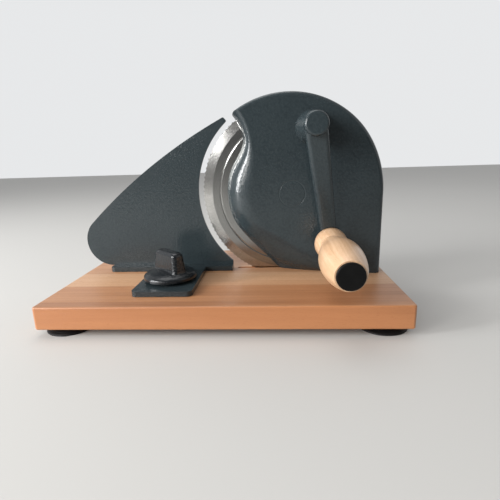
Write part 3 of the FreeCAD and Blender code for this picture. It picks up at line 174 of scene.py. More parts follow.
def ring_mesh(name: str, grid: Array) -> bpy.types.Object:
    """Object from a grid that closes on itself in both directions, like a ring.

    Args:
        name: the piece's name.
        grid: points in metres, of shape (rows, columns, 3).

    Returns:
        The new object.
    """
    rows, columns = grid.shape[:2]
    points = grid.reshape(-1, 3)
    here = np.arange(rows * columns).reshape(rows, columns)
    below, beside = np.roll(here, -1, axis=0), np.roll(here, -1, axis=1)
    across = np.roll(below, -1, axis=1)
    quads = np.stack([here, below, across, beside], axis=-1).reshape(-1, 4)
    return mesh_object(name, points, *turned_outward(points, quads, NO_FANS))


def mesh_object(name: str, points: Array, quads: Array, fans: Array) -> bpy.types.Object:
    """Object from points, quads and triangles, smooth shaded with its sharp edges kept.

    Args:
        name: the piece's name.
        points: vertices in metres, of shape (count, 3).
        quads: vertex numbers of the four sided faces.
        fans: vertex numbers of the three sided faces.

    Returns:
        The new object, linked to the scene.
    """
    mesh = bpy.data.meshes.new(name)
    mesh.vertices.add(len(points))
    mesh.vertices.foreach_set("co", points.astype(np.float32).ravel())
    loops = np.concatenate([quads.ravel(), fans.ravel()]).astype(np.int32)
    sizes = np.concatenate([np.full(len(quads), 4), np.full(len(fans), 3)])
    starts = np.concatenate([[0], np.cumsum(sizes)[:-1]]).astype(np.int32)
    mesh.loops.add(len(loops))
    mesh.loops.foreach_set("vertex_index", loops)
    mesh.polygons.add(len(sizes))
    mesh.polygons.foreach_set("loop_start", starts)
    mesh.update(calc_edges=True)
    mesh.validate()
    mesh.polygons.foreach_set("use_smooth", np.ones(len(mesh.polygons), dtype=bool))
    mesh.set_sharp_from_angle(angle=math.radians(SHARP_ANGLE))
    piece = bpy.data.objects.new(name, mesh)
    bpy.context.scene.collection.objects.link(piece)
    return piece


def full_turn(count: int) -> Array:
    """Angles evenly spread round a whole turn, in radians."""
    return np.linspace(0, 2 * np.pi, count, endpoint=False)


def rounded_profile(corners: Sequence[tuple[float, float, float]], steps: int) -> Array:
    """Profile whose corners are rounded by quadratic arcs.

    Between the points where the rounding starts and ends, a point follows
    (1 - s)^2 start + 2 s (1 - s) corner + s^2 end for s from 0 to 1.

    Args:
        corners: (radius, along, rounding) of each corner, in millimetres.
        steps: points on each rounded corner, less one.

    Returns:
        Profile points (radius, along), of shape (count, 2).
    """
    points = np.array([corner[:2] for corner in corners], dtype=float)
    rounding = np.array([corner[2] for corner in corners], dtype=float)

    def toward(shift: int) -> Array:
        """Where the rounding meets the edge to the neighbour, short of the edge's middle."""
        edge = np.roll(points, shift, axis=0) - points
        reach = rounding / np.maximum(np.linalg.norm(edge, axis=1), TINY)
        return points + edge * np.minimum(reach, 0.49)[:, None]

    share = np.linspace(0, 1, steps + 1)[None, :, None]
    arcs = ((1 - share) ** 2 * toward(1)[:, None] + 2 * share * (1 - share) * points[:, None]
            + share ** 2 * toward(-1)[:, None])
    return np.concatenate([arcs[index] if rounding[index] > 0 else points[index][None]
                           for index in range(len(corners))])


def smooth_curve(points: Sequence[tuple[float, float]], count: int) -> Array:
    """Smooth profile through points, by cubic Hermite pieces with central slopes.

    Args:
        points: (radius, along) pairs in millimetres.
        count: samples along the whole curve.

    Returns:
        Profile points of shape (count, 2).
    """
    knots = np.array(points, dtype=float)
    length = np.concatenate([[0], np.cumsum(np.linalg.norm(np.diff(knots, axis=0), axis=1))])
    slope = np.gradient(knots, length, axis=0)
    where = np.linspace(0, length[-1], count)
    piece = np.clip(np.searchsorted(length, where, side="right") - 1, 0, len(knots) - 2)
    span = (length[piece + 1] - length[piece])[:, None]
    share = (where[:, None] - length[piece][:, None]) / span
    square, cube = share ** 2, share ** 3
    return ((2 * cube - 3 * square + 1) * knots[piece]
            + (cube - 2 * square + share) * span * slope[piece]
            + (3 * square - 2 * cube) * knots[piece + 1]
            + (cube - square) * span * slope[piece + 1])


# ---------------------------------------------------------------- shader arithmetic
class Wire:
    """A shader socket in Python arithmetic: each operation on it adds its Math node."""

    def __init__(self, sheet: "Sheet", socket: bpy.types.NodeSocket) -> None:
        """Keep the socket and the node sheet that it belongs to."""
        self.sheet = sheet
        self.socket = socket

    def _join(self, operation: str, *others: Any) -> "Wire":
        """Result of a Math node on this value and others."""
        return self.sheet.maths(operation, self, *others)

    def __add__(self, other: Any) -> "Wire":
        """Sum."""
        return self._join("ADD", other)

    def __radd__(self, other: Any) -> "Wire":
        """Sum, with the value on the right."""
        return self._join("ADD", other)

    def __sub__(self, other: Any) -> "Wire":
        """Difference."""
        return self._join("SUBTRACT", other)

    def __rsub__(self, other: Any) -> "Wire":
        """Difference, with the value on the right."""
        return self.sheet.maths("SUBTRACT", other, self)

    def __mul__(self, other: Any) -> "Wire":
        """Product."""
        return self._join("MULTIPLY", other)

    def __truediv__(self, other: Any) -> "Wire":
        """Quotient."""
        return self._join("DIVIDE", other)

    def __pow__(self, other: Any) -> "Wire":
        """Power."""
        return self._join("POWER", other)

    def size(self) -> "Wire":
        """Absolute value."""
        return self._join("ABSOLUTE")

    def whole(self) -> "Wire":
        """Whole part."""
        return self._join("FLOOR")

    def step(self, low: float, high: float) -> "Wire":
        """Smooth step from 0 at low to 1 at high, or back where low is the larger."""
        flip = low > high
        bounds = (high, low) if flip else (low, high)
        node = self.sheet.node("ShaderNodeMapRange", {"interpolation_type": "SMOOTHSTEP"},
                               {"Value": self, "From Min": bounds[0], "From Max": bounds[1]})
        rise = Wire(self.sheet, node.outputs["Result"])
        return 1 - rise if flip else rise


class Sheet:
    """The node sheet of one material or of the world."""

    def __init__(self, owner: bpy.types.Material | bpy.types.World) -> None:
        """Start with the owner's nodes cleared."""
        owner.use_nodes = True
        self.owner = owner
        self.tree = owner.node_tree
        self.tree.nodes.clear()

    @classmethod
    def of_material(cls, name: str) -> "Sheet":
        """Sheet of a new material."""
        return cls(bpy.data.materials.new(name))

    def node(self, kind: str, settings: dict[str, Any], inputs: dict[Any, Any]) -> bpy.types.Node:
        """Add a node.

        Args:
            kind: the node's type.
            settings: attributes of the node, set first; a ramp's stops go under "stops".
            inputs: values or wires, by the name or number of their input socket.

        Returns:
            The new node.
        """
        node = self.tree.nodes.new(kind)
        for key, value in settings.items():
            if key == "stops":
                ramp = node.color_ramp
                while len(ramp.elements) < len(value):
                    ramp.elements.new(0.5)
                for element, (position, colour) in zip(ramp.elements, value):
                    element.position = position
                    element.color = (*colour, 1.0)
            else:
                setattr(node, key, value)
        for key, value in inputs.items():
            socket = node.inputs[key]
            if isinstance(value, Wire):
                self.tree.links.new(value.socket, socket)
            elif isinstance(value, tuple) and len(value) == 3 and socket.type == "RGBA":
                socket.default_value = (*value, 1.0)
            else:
                socket.default_value = value
        return node

    def maths(self, operation: str, *values: Any) -> Wire:
        """Result of a Math node on one to three values."""
        node = self.node("ShaderNodeMath", {"operation": operation}, dict(enumerate(values)))
        return Wire(self, node.outputs[0])

    def vector(self, operation: str, first: Any, second: Any) -> Wire:
        """Result of a Vector Math node on two vectors."""
        node = self.node("ShaderNodeVectorMath", {"operation": operation}, {0: first, 1: second})
        return Wire(self, node.outputs[0])

    def combine(self, x: Any, y: Any, z: Any) -> Wire:
        """Vector from three values."""
        node = self.node("ShaderNodeCombineXYZ", {}, {"X": x, "Y": y, "Z": z})
        return Wire(self, node.outputs[0])

    def parts(self, vector: Wire) -> tuple[Wire, Wire, Wire]:
        """The three values of a vector."""
        node = self.node("ShaderNodeSeparateXYZ", {}, {"Vector": vector})
        return tuple(Wire(self, socket) for socket in node.outputs)

    def spot(self) -> Wire:
        """Where the shaded point lies on its object, in metres."""
        return Wire(self, self.node("ShaderNodeTexCoord", {}, {}).outputs["Object"])

    def facing(self) -> Wire:
        """The surface's direction in the object's own frame."""
        return Wire(self, self.node("ShaderNodeTexCoord", {}, {}).outputs["Normal"])

    def noise(self, vector: Wire, scale: float, detail: float, roughness: float = 0.5) -> Wire:
        """Fractal noise from 0 to 1, with features of about 1 / scale."""
        node = self.node("ShaderNodeTexNoise", {}, {
            "Vector": vector, "Scale": scale, "Detail": detail, "Roughness": roughness})
        return Wire(self, node.outputs[0])

    def cells(self, vector: Wire, scale: float) -> Wire:
        """Smoothed distance to the nearest seed of a cell pattern of about 1 / scale."""
        node = self.node("ShaderNodeTexVoronoi", {"feature": "SMOOTH_F1"},
                         {"Vector": vector, "Scale": scale, "Smoothness": 1.0})
        return Wire(self, node.outputs["Distance"])

    def chance(self, value: Wire) -> Wire:
        """A random value from 0 to 1 for each value that goes in."""
        node = self.node("ShaderNodeTexWhiteNoise", {"noise_dimensions": "1D"}, {"W": value})
        return Wire(self, node.outputs["Value"])

    def blend(self, share: Any, first: Any, second: Any) -> Wire:
        """Colour between two colours."""
        node = self.node("ShaderNodeMix", {"data_type": "RGBA"}, {0: share, 6: first, 7: second})
        return Wire(self, node.outputs[2])

    def ramp(self, value: Wire, stops: Sequence[tuple[float, Colour]]) -> Wire:
        """Colour read from a ramp."""
        node = self.node("ShaderNodeValToRGB", {"stops": stops}, {"Fac": value})
        return Wire(self, node.outputs[0])

    def relief(self, height: Wire, depth: float, strength: float) -> Wire:
        """Normal of a surface raised by up to depth metres where height is 1."""
        inputs = {"Height": height, "Distance": depth, "Strength": strength}
        return Wire(self, self.node("ShaderNodeBump", {}, inputs).outputs[0])

    def surface(self, **inputs: Any) -> bpy.types.Material:
        """Finish the material with a Principled shader.

        Args:
            inputs: socket values, with underscores for the spaces in the sockets' names.

        Returns:
            The material.
        """
        named = {key.replace("_", " "): value for key, value in inputs.items()}
        shader = self.node("ShaderNodeBsdfPrincipled", {}, named)
        output = self.node("ShaderNodeOutputMaterial", {}, {})
        self.tree.links.new(shader.outputs[0], output.inputs[0])
        return self.owner


# ---------------------------------------------------------------- finishes
@dataclass(frozen=True)
class HammeredPaint:
    """Glossy skin over fine dimples that break up its highlights; by default blue grey enamel.

    A ring shaped seam round the head of the blade's axle, in the housing's front, is sunk as a
    shallow groove in the bump and drawn as a painted light line in the colour.
    """

    name: str = "hammered_paint"
    deep: Colour = (0.018, 0.026, 0.030)
    raised: Colour = (0.029, 0.039, 0.043)
    dimple: float = 0.0019
    depth: float = 0.00020
    seam: float = SEAM_RADIUS

    def make(self) -> bpy.types.Material:
        """Build the material."""
        sheet = Sheet.of_material(self.name)
        spot = sheet.spot()
        warp = (sheet.noise(spot, 0.4 / self.dimple, 2.0) - 0.5) * self.dimple
        bent = sheet.vector("ADD", spot, sheet.combine(warp, warp * -1, warp))
        dimples = sheet.cells(bent, 1 / self.dimple)
        peel = sheet.noise(spot, 1 / (self.dimple * 0.45), 2.0)
        broad = sheet.noise(spot, 18.0, 3.0)
        share = (dimples * 0.5 + broad * 0.5 + peel * 0.2).step(0.3, 0.95)
        x, y, z = sheet.parts(spot)
        across, up = x - AXLE_HEAD[0], z - AXLE_HEAD[2]
        ring = ((across * across + up * up) ** 0.5 - self.seam).size().step(0.0007, 0.0002)
        ring = ring * (y - AXLE_HEAD[1]).size().step(0.0012, 0.0006)
        # Painted light line: along the seam round the axle head the colour is pulled towards the
        # lighter raised tone; the bump below sinks the real groove
        colour = sheet.blend(share * (1 - ring * 0.8), self.raised, self.deep)
        rough = 0.17 + (broad - 0.5) * 0.08 + (peel - 0.5) * 0.08
        normal = sheet.relief(dimples * 0.8 + peel * 0.3 - ring * 0.8, self.depth, 0.8)
        return sheet.surface(Base_Color=colour, Metallic=0.0, Roughness=rough, Normal=normal,
                             IOR=1.46)


@dataclass(frozen=True)
class BeechStaves:
    """Oiled beech board glued from staves that run along its length."""

    name: str = "beech_board"
    pale: Colour = (0.56, 0.33, 0.185)
    rosy: Colour = (0.45, 0.215, 0.098)
    dark: Colour = (0.27, 0.112, 0.047)
    # face: painted shade for faces that point to the front, deeper and more saturated than the top
    face: Colour = (0.47, 0.165, 0.052)
    stave: float = 0.042
    first_joint: float = -0.2

    def make(self) -> bpy.types.Material:
        """Build the material."""
        sheet = Sheet.of_material(self.name)
        x, y, z = sheet.parts(sheet.spot())
        staves = (y - self.first_joint) / self.stave
        number = staves.whole()
        luck = sheet.chance(number)
        within = staves - number
        along = x + luck * 3.1
        grain = sheet.noise(
            sheet.combine(along * 9.0, y * 260.0 + luck * 40.0, z * 200.0), 1.0, 5.0, 0.6)
        bands = sheet.noise(sheet.combine(along * 3.0, y * 70.0 + luck * 17.0, z * 60.0), 1.0, 3.0)
        flecks = sheet.noise(sheet.combine(x * 260.0, y * 1900.0, z * 1500.0), 1.0, 1.0)
        flecks = flecks.step(0.60, 0.70)
        pores = sheet.noise(sheet.combine(x * 120.0, y * 2600.0, z * 2600.0), 1.0, 2.0)
        pores = pores.step(0.58, 0.72)
        share = bands * 0.75 + grain * 0.35 + (luck - 0.5) * 0.55 - 0.05
        wood = sheet.ramp(share, [(0.18, self.pale), (0.55, self.rosy), (0.95, self.dark)])
        wood = sheet.blend(flecks * 0.45, wood, self.dark)
        wood = sheet.blend(pores * 0.25, wood, self.dark)
        joint = (within - 0.5).size().step(0.485, 0.499)
        end_x, front_y, _ = sheet.parts(sheet.facing())
        # Painted shade: faces that point to the front are blended towards the face colour, deeper
        # and more saturated than the top, standing in for the sheen that pales the top
        wood = sheet.blend(front_y.step(-0.6, -0.9) * 0.45, wood, self.face)
        end_grain = end_x.size().step(0.6, 0.8)
        rings = sheet.noise(
            sheet.combine(y * 90.0 + luck * 5.0, z * 160.0 + y * 30.0, luck * 4.0), 1.0, 4.0)
        cut_end = sheet.blend(rings.step(0.35, 0.65), self.rosy, self.dark)
        wood = sheet.blend(end_grain, wood, cut_end)
        wood = sheet.blend(joint * 0.55, wood, self.dark)
        rough = 0.43 + (grain - 0.5) * 0.25 + pores * 0.1
        normal = sheet.relief(grain * 0.4 - pores * 0.5 - joint * 0.8, 0.00012, 0.7)
        return sheet.surface(Base_Color=wood, Roughness=rough, Normal=normal,
                             Coat_Weight=0.12, Coat_Roughness=0.3)


@dataclass(frozen=True)
class TurnedMaple:
    """Lacquered turned wood with grain along the axis of the grip."""

    axis_point: tuple[float, float, float]
    rotation: tuple[float, float, float]
    name: str = "grip_wood"
    pale: Colour = (0.62, 0.42, 0.27)
    warm: Colour = (0.51, 0.32, 0.185)
    line: Colour = (0.35, 0.195, 0.105)

    def make(self) -> bpy.types.Material:
        """Build the material."""
        sheet = Sheet.of_material(self.name)
        mapped = sheet.node("ShaderNodeMapping", {"vector_type": "TEXTURE"}, {
            "Vector": sheet.spot(), "Location": self.axis_point, "Rotation": self.rotation})
        x, y, z = sheet.parts(Wire(sheet, mapped.outputs[0]))
        drift = sheet.noise(sheet.combine(x * 30.0, y * 9.0, z * 30.0), 1.0, 2.0) - 0.5
        across = x * 0.85 + z * 0.5
        bands = sheet.noise(
            sheet.combine(across * 420.0 + drift * 5.0, y * 5.0, z * 90.0), 1.0, 3.0)
        fibres = sheet.noise(sheet.combine(x * 1700.0, y * 34.0, z * 1700.0), 1.0, 3.0)
        pores = sheet.noise(sheet.combine(x * 2600.0, y * 160.0, z * 2600.0), 1.0, 1.0)
        pores = pores.step(0.62, 0.72)
        wood = sheet.ramp(bands * 0.7 + fibres * 0.3,
                          [(0.28, self.pale), (0.56, self.warm), (0.80, self.line)])
        wood = sheet.blend(pores * 0.35, wood, self.line)
        normal = sheet.relief(fibres * 0.5 - pores * 0.4, 0.00008, 0.5)
        return sheet.surface(Base_Color=wood, Roughness=0.34 + (fibres - 0.5) * 0.16, Normal=normal,
                             Coat_Weight=0.35, Coat_Roughness=0.18)


@dataclass(frozen=True)
class GroundSteel:
    """Stainless blade: turned finish on the disc and finer grinding across the bevel.

    All its marks follow the distance from the blade's axis and the way that it points.
    """

    name: str = "blade_steel"
    bright: Colour = (0.36, 0.36, 0.35)
    dull: Colour = (0.20, 0.20, 0.19)
    ground: Colour = (0.60, 0.59, 0.57)
    bevel_start: float = 0.0846
    bevel_edge: float = 0.0002

    def make(self) -> bpy.types.Material:
        """Build the material."""
        sheet = Sheet.of_material(self.name)
        x, y, z = sheet.parts(sheet.spot())
        across = x - BLADE_X / 1000
        up = z - (BOARD_TOP + AXIS_HEIGHT) / 1000
        reach = (across * across + up * up) ** 0.5
        away = reach + 1e-5
        way_x, way_z = across / away, up / away
        bevel = reach.step(self.bevel_start - self.bevel_edge, self.bevel_start + self.bevel_edge)
        rings = sheet.noise(
            sheet.combine(reach * 2600.0, way_x * 1.5, way_z * 1.5), 1.0, 3.0, 0.7)
        strokes = sheet.noise(
            sheet.combine(way_x * 320.0, way_z * 320.0, reach * 160.0), 1.0, 3.0, 0.7)
        smear = sheet.noise(sheet.combine(across * 26.0, up * 26.0, y * 10.0), 1.0, 4.0)
        grind = rings * (1 - bevel) + strokes * bevel
        shade = grind.step(0.25, 0.8) * 0.5 + smear * 0.3
        disc = sheet.blend(shade, self.bright, self.dull)
        colour = sheet.blend(bevel, disc, sheet.blend(shade, self.ground, self.dull))
        rough = 0.19 + (smear - 0.5) * 0.12 + (grind - 0.5) * 0.10 - bevel * 0.03
        normal = sheet.relief(grind, 0.000005, 0.6)
        return sheet.surface(Base_Color=colour, Metallic=1.0, Roughness=rough, Normal=normal)


@dataclass(frozen=True)
class PlatedSteel:
    """Zinc plated or bronze fittings with fine turning marks and mottling."""

    name: str = "zinc_steel"
    light: Colour = (0.62, 0.64, 0.67)
    shade: Colour = (0.40, 0.41, 0.43)
    roughness: float = 0.30

    def make(self) -> bpy.types.Material:
        """Build the material."""
        sheet = Sheet.of_material(self.name)
        spot = sheet.spot()
        mottle = sheet.noise(spot, 420.0, 3.0)
        fine = sheet.noise(spot, 3000.0, 2.0)
        colour = sheet.blend(mottle.step(0.3, 0.75), self.light, self.shade)
        rough = self.roughness + (mottle - 0.5) * 0.25 + (fine - 0.5) * 0.1
        return sheet.surface(Base_Color=colour, Metallic=1.0, Roughness=rough,
                             Normal=sheet.relief(fine, 0.00002, 0.5))


@dataclass(frozen=True)
class MouldedPlastic:
    """Moulded plastic or rubber with a fine mould texture."""

    name: str
    face: Colour
    sheen: Colour
    roughness: float
    grain: float = 0.0006
    depth: float = 0.00003
    coat: float = 0.25
    shine: float = 0.5

    def make(self) -> bpy.types.Material:
        """Build the material."""
        sheet = Sheet.of_material(self.name)
        spot = sheet.spot()
        grain = sheet.noise(spot, 1 / self.grain, 2.0)
        broad = sheet.noise(spot, 60.0, 3.0)
        colour = sheet.blend(broad.step(0.35, 0.75) * 0.7 + grain * 0.3, self.face, self.sheen)
        rough = self.roughness + (broad - 0.5) * 0.12 + (grain - 0.5) * 0.12
        return sheet.surface(Base_Color=colour, Roughness=rough, Coat_Weight=self.coat,
                             Coat_Roughness=0.14, Specular_IOR_Level=self.shine,
                             Normal=sheet.relief(grain, self.depth, 0.8))


@dataclass(frozen=True)
class BareFloor:
    """Pale matt studio floor."""

    name: str = "studio_floor"
    tone: Colour = (0.50, 0.49, 0.47)
    wash: float = 0.97

    def make(self) -> bpy.types.Material:
        """Build the material."""
        sheet = Sheet.of_material(self.name)
        share = sheet.noise(sheet.spot(), 3.0, 2.0)
        colour = sheet.blend(share, self.tone, tuple(value * self.wash for value in self.tone))
        return sheet.surface(Base_Color=colour, Roughness=0.6)


class Finish(Enum):
    """The finishes of the slicer, by material slot."""

    PAINT = "hammered_paint"
    BOARD = "beech_board"
    GRIP = "grip_wood"
    BLADE = "blade_steel"
    NYLON = "gear_nylon"
    BRONZE = "bronze"
    KNOB = "knob_plastic"
    CAP = "black_plastic"
    RUBBER = "black_rubber"
    ZINC = "zinc_steel"


class Palette:
    """Builds each finish once and hands it out."""

    def __init__(self, grip_point: Array, grip_turn: tuple[float, float, float]) -> None:
        """Make every finish; the grip's grain follows its axis."""
        makers = {
            Finish.PAINT: HammeredPaint(),
            Finish.BOARD: BeechStaves(),
            Finish.GRIP: TurnedMaple(tuple(float(value) for value in grip_point), grip_turn),
            Finish.BLADE: GroundSteel(),
            Finish.NYLON: MouldedPlastic(
                Finish.NYLON.value, (0.72, 0.70, 0.62), (0.80, 0.78, 0.70), 0.42, grain=0.001),
            Finish.BRONZE: PlatedSteel(
                Finish.BRONZE.value, (0.62, 0.40, 0.18), (0.42, 0.25, 0.10), 0.34),
            Finish.KNOB: HammeredPaint(
                Finish.KNOB.value, (0.004, 0.005, 0.007), (0.009, 0.011, 0.013),
                dimple=0.0017, depth=0.00035),
            Finish.CAP: MouldedPlastic(
                Finish.CAP.value, (0.003, 0.003, 0.003), (0.006, 0.006, 0.006), 0.38,
                coat=0.0, shine=0.12),
            Finish.RUBBER: MouldedPlastic(
                Finish.RUBBER.value, (0.004, 0.003, 0.003), (0.010, 0.009, 0.009), 0.60,
                grain=0.0009, depth=0.00006, coat=0.0, shine=0.2),
            Finish.ZINC: PlatedSteel(),
        }
        self.materials = {finish: maker.make() for finish, maker in makers.items()}

    def dress(self, piece: bpy.types.Object, finish: Finish) -> None:
        """Give a piece one finish all over."""
        piece.data.materials.clear()
        piece.data.materials.append(self.materials[finish])


# ---------------------------------------------------------------- sub-assemblies
@dataclass
class Group:
    """A sub-assembly: the CAD nodes that keep their shape, and the pieces made for it here."""

    palette: Palette
    kept: dict[str, Finish] = field(default_factory=dict)

    def dress_kept(self) -> None:
        """Give the nodes that keep their shape their finishes."""
        for name, finish in self.kept.items():
            self.palette.dress(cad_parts[name], finish)
            LOG.info("%s keeps its shape, in %s", name, finish.value)

    def add(self, piece: bpy.types.Object, body: str, finish: Finish, *nodes: str) -> None:
        """Dress a new piece, let it ride on a body and stand for nodes."""
        self.palette.dress(piece, finish)
        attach(piece, body)
        if nodes:
            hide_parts(*nodes)
        LOG.info("%s rides on %s, in %s", piece.name, body, finish.value)

    def build(self) -> None:
        """Build and dress the group."""
        self.dress_kept()


@dataclass
class Housing(Group):
    """The cast cover, its axle and its fittings."""

    kept: dict[str, Finish] = field(default_factory=lambda: {
        "housing": Finish.PAINT, "blade_axle": Finish.PAINT, "thrust_washer": Finish.ZINC,
        "crank_bush": Finish.BRONZE})


@dataclass
class Blade(Group):
    """The toothed disc, its gear and their fittings."""

    kept: dict[str, Finish] = field(default_factory=lambda: {
        "blade": Finish.BLADE, "blade_gear": Finish.NYLON, "blade_bush": Finish.BRONZE,
        "blade_washer": Finish.ZINC, "blade_screw": Finish.ZINC, "gear_screws": Finish.ZINC})


@dataclass
class Crank(Group):
    """The crank arm with its shaft, gear and fittings."""

    kept: dict[str, Finish] = field(default_factory=lambda: {
        "crank_arm": Finish.PAINT, "hub_cap": Finish.PAINT, "crank_shaft": Finish.ZINC,
        "crank_gear": Finish.ZINC, "gear_key": Finish.ZINC, "crank_washer": Finish.ZINC,
        "crank_screw": Finish.ZINC, "grip_bolt": Finish.ZINC, "grip_washer": Finish.ZINC})


@dataclass
class Grip(Group):
    """The turned wooden grip and its end cap."""

    kept: dict[str, Finish] = field(default_factory=lambda: {"grip_end_cap": Finish.CAP})
    spindle: Spindle | None = None
    length: float = 94.0
    foot: float = 15.0
    end: float = 12.4
    bore: float = 4.05
    socket: float = 8.0
    socket_depth: float = 12.0

    def build(self) -> None:
        """Turn the grip: collar, crease at the waist, egg shaped belly and bored ends."""
        self.dress_kept()
        collar = smooth_curve([
            (15.9, 1.0), (16.0, 3.0), (15.8, 6.5), (14.6, 10.5), (12.8, 14.6), (12.0, 16.0)], 32)
        belly = smooth_curve([
            (12.0, 16.0), (12.6, 19.5), (14.5, 29.3), (16.8, 40.0), (18.5, 50.0), (18.9, 57.0),
            (18.5, 67.0), (16.9, 78.0), (14.8, 87.5), (12.9, 93.3)], 110)
        socket_floor = self.length - self.socket_depth
        profile = np.concatenate([
            [(self.bore, socket_floor), (self.bore, 0.0), (self.foot, 0.0)], collar, belly[1:],
            [(self.end, self.length), (self.socket, self.length), (self.socket, socket_floor)]])
        grid = self.spindle.points(profile[:, :1], full_turn(128)[None, :], profile[:, 1:])
        self.add(ring_mesh("grip_turned", grid), "grip", Finish.GRIP, "crank_grip")


@dataclass
class Board(Group):
    """The wooden board on its rubber feet."""

    kept: dict[str, Finish] = field(default_factory=lambda: {"base_board": Finish.BOARD})
    middles: tuple[tuple[float, float], ...] = (
        (-210.5, 92.0), (-210.5, -57.6), (76.5, 92.0), (76.5, -57.6))
    foot_top: float = -21.6

    def foot_profile(self) -> Array:
        """Profile of a foot: a neck that flares into a ribbed lip with a hollow below."""
        return rounded_profile([
            (2.02, 0.0, 0.0), (9.4, 0.0, 0.4), (10.6, -0.5, 0.5), (11.8, -2.1, 0.8),
            (13.2, -2.9, 0.8), (17.2, -3.6, 0.8), (18.6, -4.1, 0.3), (19.2, -4.6, 0.3),
            (20.6, -5.0, 0.4), (22.0, -5.9, 0.5), (22.0, -7.0, 0.25), (19.4, -7.0, 0.2),
            (13.0, -5.2, 1.5), (5.0, -4.4, 0.3), (2.02, -4.4, 0.0)], 4)

    def build(self) -> None:
        """Make the board's finish and the four feet."""
        self.dress_kept()
        profile = self.foot_profile()
        for number, (x, forward) in enumerate(self.middles, 1):
            spindle = Spindle(place(x, forward, self.foot_top), np.array(Facing.UP.value))
            grid = spindle.points(profile[:, :1], full_turn(96)[None, :], profile[:, 1:])
            self.add(ring_mesh(f"foot_{number}", grid), "base", Finish.RUBBER,
                     *(("suction_feet",) if number == 1 else ()))


@dataclass
class Slide(Group):
    """The sliding base with its stop plate."""

    kept: dict[str, Finish] = field(default_factory=lambda: {
        "slide_base": Finish.PAINT, "stop_plate": Finish.PAINT})


@dataclass
class Clamp(Group):
    """The wing knob with its stud and washers."""

    kept: dict[str, Finish] = field(default_factory=lambda: {
        "clamp_stud": Finish.ZINC, "stud_washer": Finish.ZINC, "clamp_washer": Finish.ZINC,
        "knob_insert": Finish.BRONZE})
    middle: tuple[float, float] = (-123.0, 56.0)
    bottom: float = 7.6
    height: float = 27.2
    radius: float = 26.0
    skirt: float = 2.2
    dome: float = 9.0
    fullness: float = 2.1
    foot_half: tuple[float, float] = (20.5, 8.0)
    top_half: tuple[float, float] = (17.25, 5.8)
    corner: float = 3.9
    ease: float = 1.6
    angle: float = -43.5

    def outline(self, turn: Array, level: Array) -> Array:
        """Distance from the axis to the knob's outside.

        The wing is a box with rounded corners whose half length and half thickness shrink as it
        rises; the dome is a circle whose radius falls as R (1 - rise ^ n) ^ (1 / n). The larger one
        rules, and the two are eased into each other where they meet.

        Args:
            turn: angles from the wing's length, in radians.
            level: heights above the knob's foot, in millimetres.

        Returns:
            Radii in millimetres.
        """
        share = np.clip((level - self.skirt) / (self.height - self.skirt), 0, 1)
        near_top = np.clip((level - (self.height - self.corner)) / self.corner, 0, 1)
        draw_in = self.corner * (1 - np.sqrt(1 - near_top ** 2))
        (foot_long, foot_thick), (top_long, top_thick) = self.foot_half, self.top_half
        half_long = foot_long + (top_long - foot_long) * share - draw_in
        half_thick = foot_thick + (top_thick - foot_thick) * share - draw_in * 0.9
        soft = np.minimum(self.corner * 1.05, half_thick * 0.9)
        cosine, sine = np.abs(np.cos(turn)), np.abs(np.sin(turn))
        box = np.minimum(half_long / np.maximum(cosine, TINY), half_thick / np.maximum(sine, TINY))
        centre_long, centre_thick = half_long - soft, half_thick - soft
        along = centre_long * cosine + centre_thick * sine
        aside = centre_long * sine - centre_thick * cosine
        arc = along + np.sqrt(np.maximum(soft ** 2 - aside ** 2, 0))
        beyond = (arc * cosine > centre_long) & (arc * sine > centre_thick)
        wing = np.where(beyond & (np.abs(aside) < soft), arc, box)
        rise = np.clip((level - self.skirt) / (self.dome - self.skirt), 0, 1)
        round_part = self.radius * (1 - rise ** self.fullness) ** (1 / self.fullness)
        gap = wing - round_part
        easing = self.ease ** 2 * np.clip(rise * 2, 0, 1)
        return 0.5 * (wing + round_part + np.sqrt(gap ** 2 + easing))

    def heights(self) -> Array:
        """Levels of the outside: skirt, dome, wing and rounded top, closer where it bends."""
        shoulder = self.height - self.corner
        return np.concatenate([
            np.linspace(0.6, self.skirt, 4),
            self.skirt + (self.dome - self.skirt) * np.sin(np.linspace(0.06, np.pi / 2, 44)),
            np.linspace(self.dome + 0.5, shoulder, 16),
            shoulder + self.corner * np.sin(np.linspace(0.12, np.pi / 2, 9))])[:, None]

    def underside(self) -> Array:
        """Profile of the hollow foot and of the bore for the insert, from the inside out."""
        return rounded_profile([
            (25.5, 0.0, 0.3), (23.0, 0.0, 0.3), (22.7, 1.6, 0.5), (10.2, 1.6, 0.3),
            (10.0, 0.0, 0.3), (5.62, 0.0, 0.0), (5.62, 15.0, 0.0), (0.4, 15.0, 0.0)], 3)[::-1]

    def build(self) -> None:
        """Mould the knob and dress the fittings."""
        self.dress_kept()
        turn = full_turn(360)[None, :]
        rise, below = self.heights(), self.underside()
        outside = self.outline(turn, rise)
        lid = outside[-1:] * np.linspace(0.9, 0.08, 8)[:, None]
        radius = np.concatenate([np.repeat(below[:, :1], turn.size, axis=1), outside, lid])
        level = np.concatenate([below[:, 1:], rise, np.full((len(lid), 1), self.height)])
        spindle = Spindle(place(*self.middle, self.bottom), np.array(Facing.UP.value))
        first, second = spindle.sides()
        heading = math.atan2(first[1], first[0])
        sense = math.copysign(1.0, first[0] * second[1] - first[1] * second[0])
        swing = (math.radians(self.angle) - heading) * sense
        knob = closed_mesh("knob_moulded", spindle.points(radius, turn + swing, level))
        self.add(knob, "clamp", Finish.KNOB, "clamp_knob")


# ---------------------------------------------------------------- screws
class Drive(Enum):
    """Shapes of the recess in a screw's head."""

    CROSS = "cross"
    HEX = "hex"


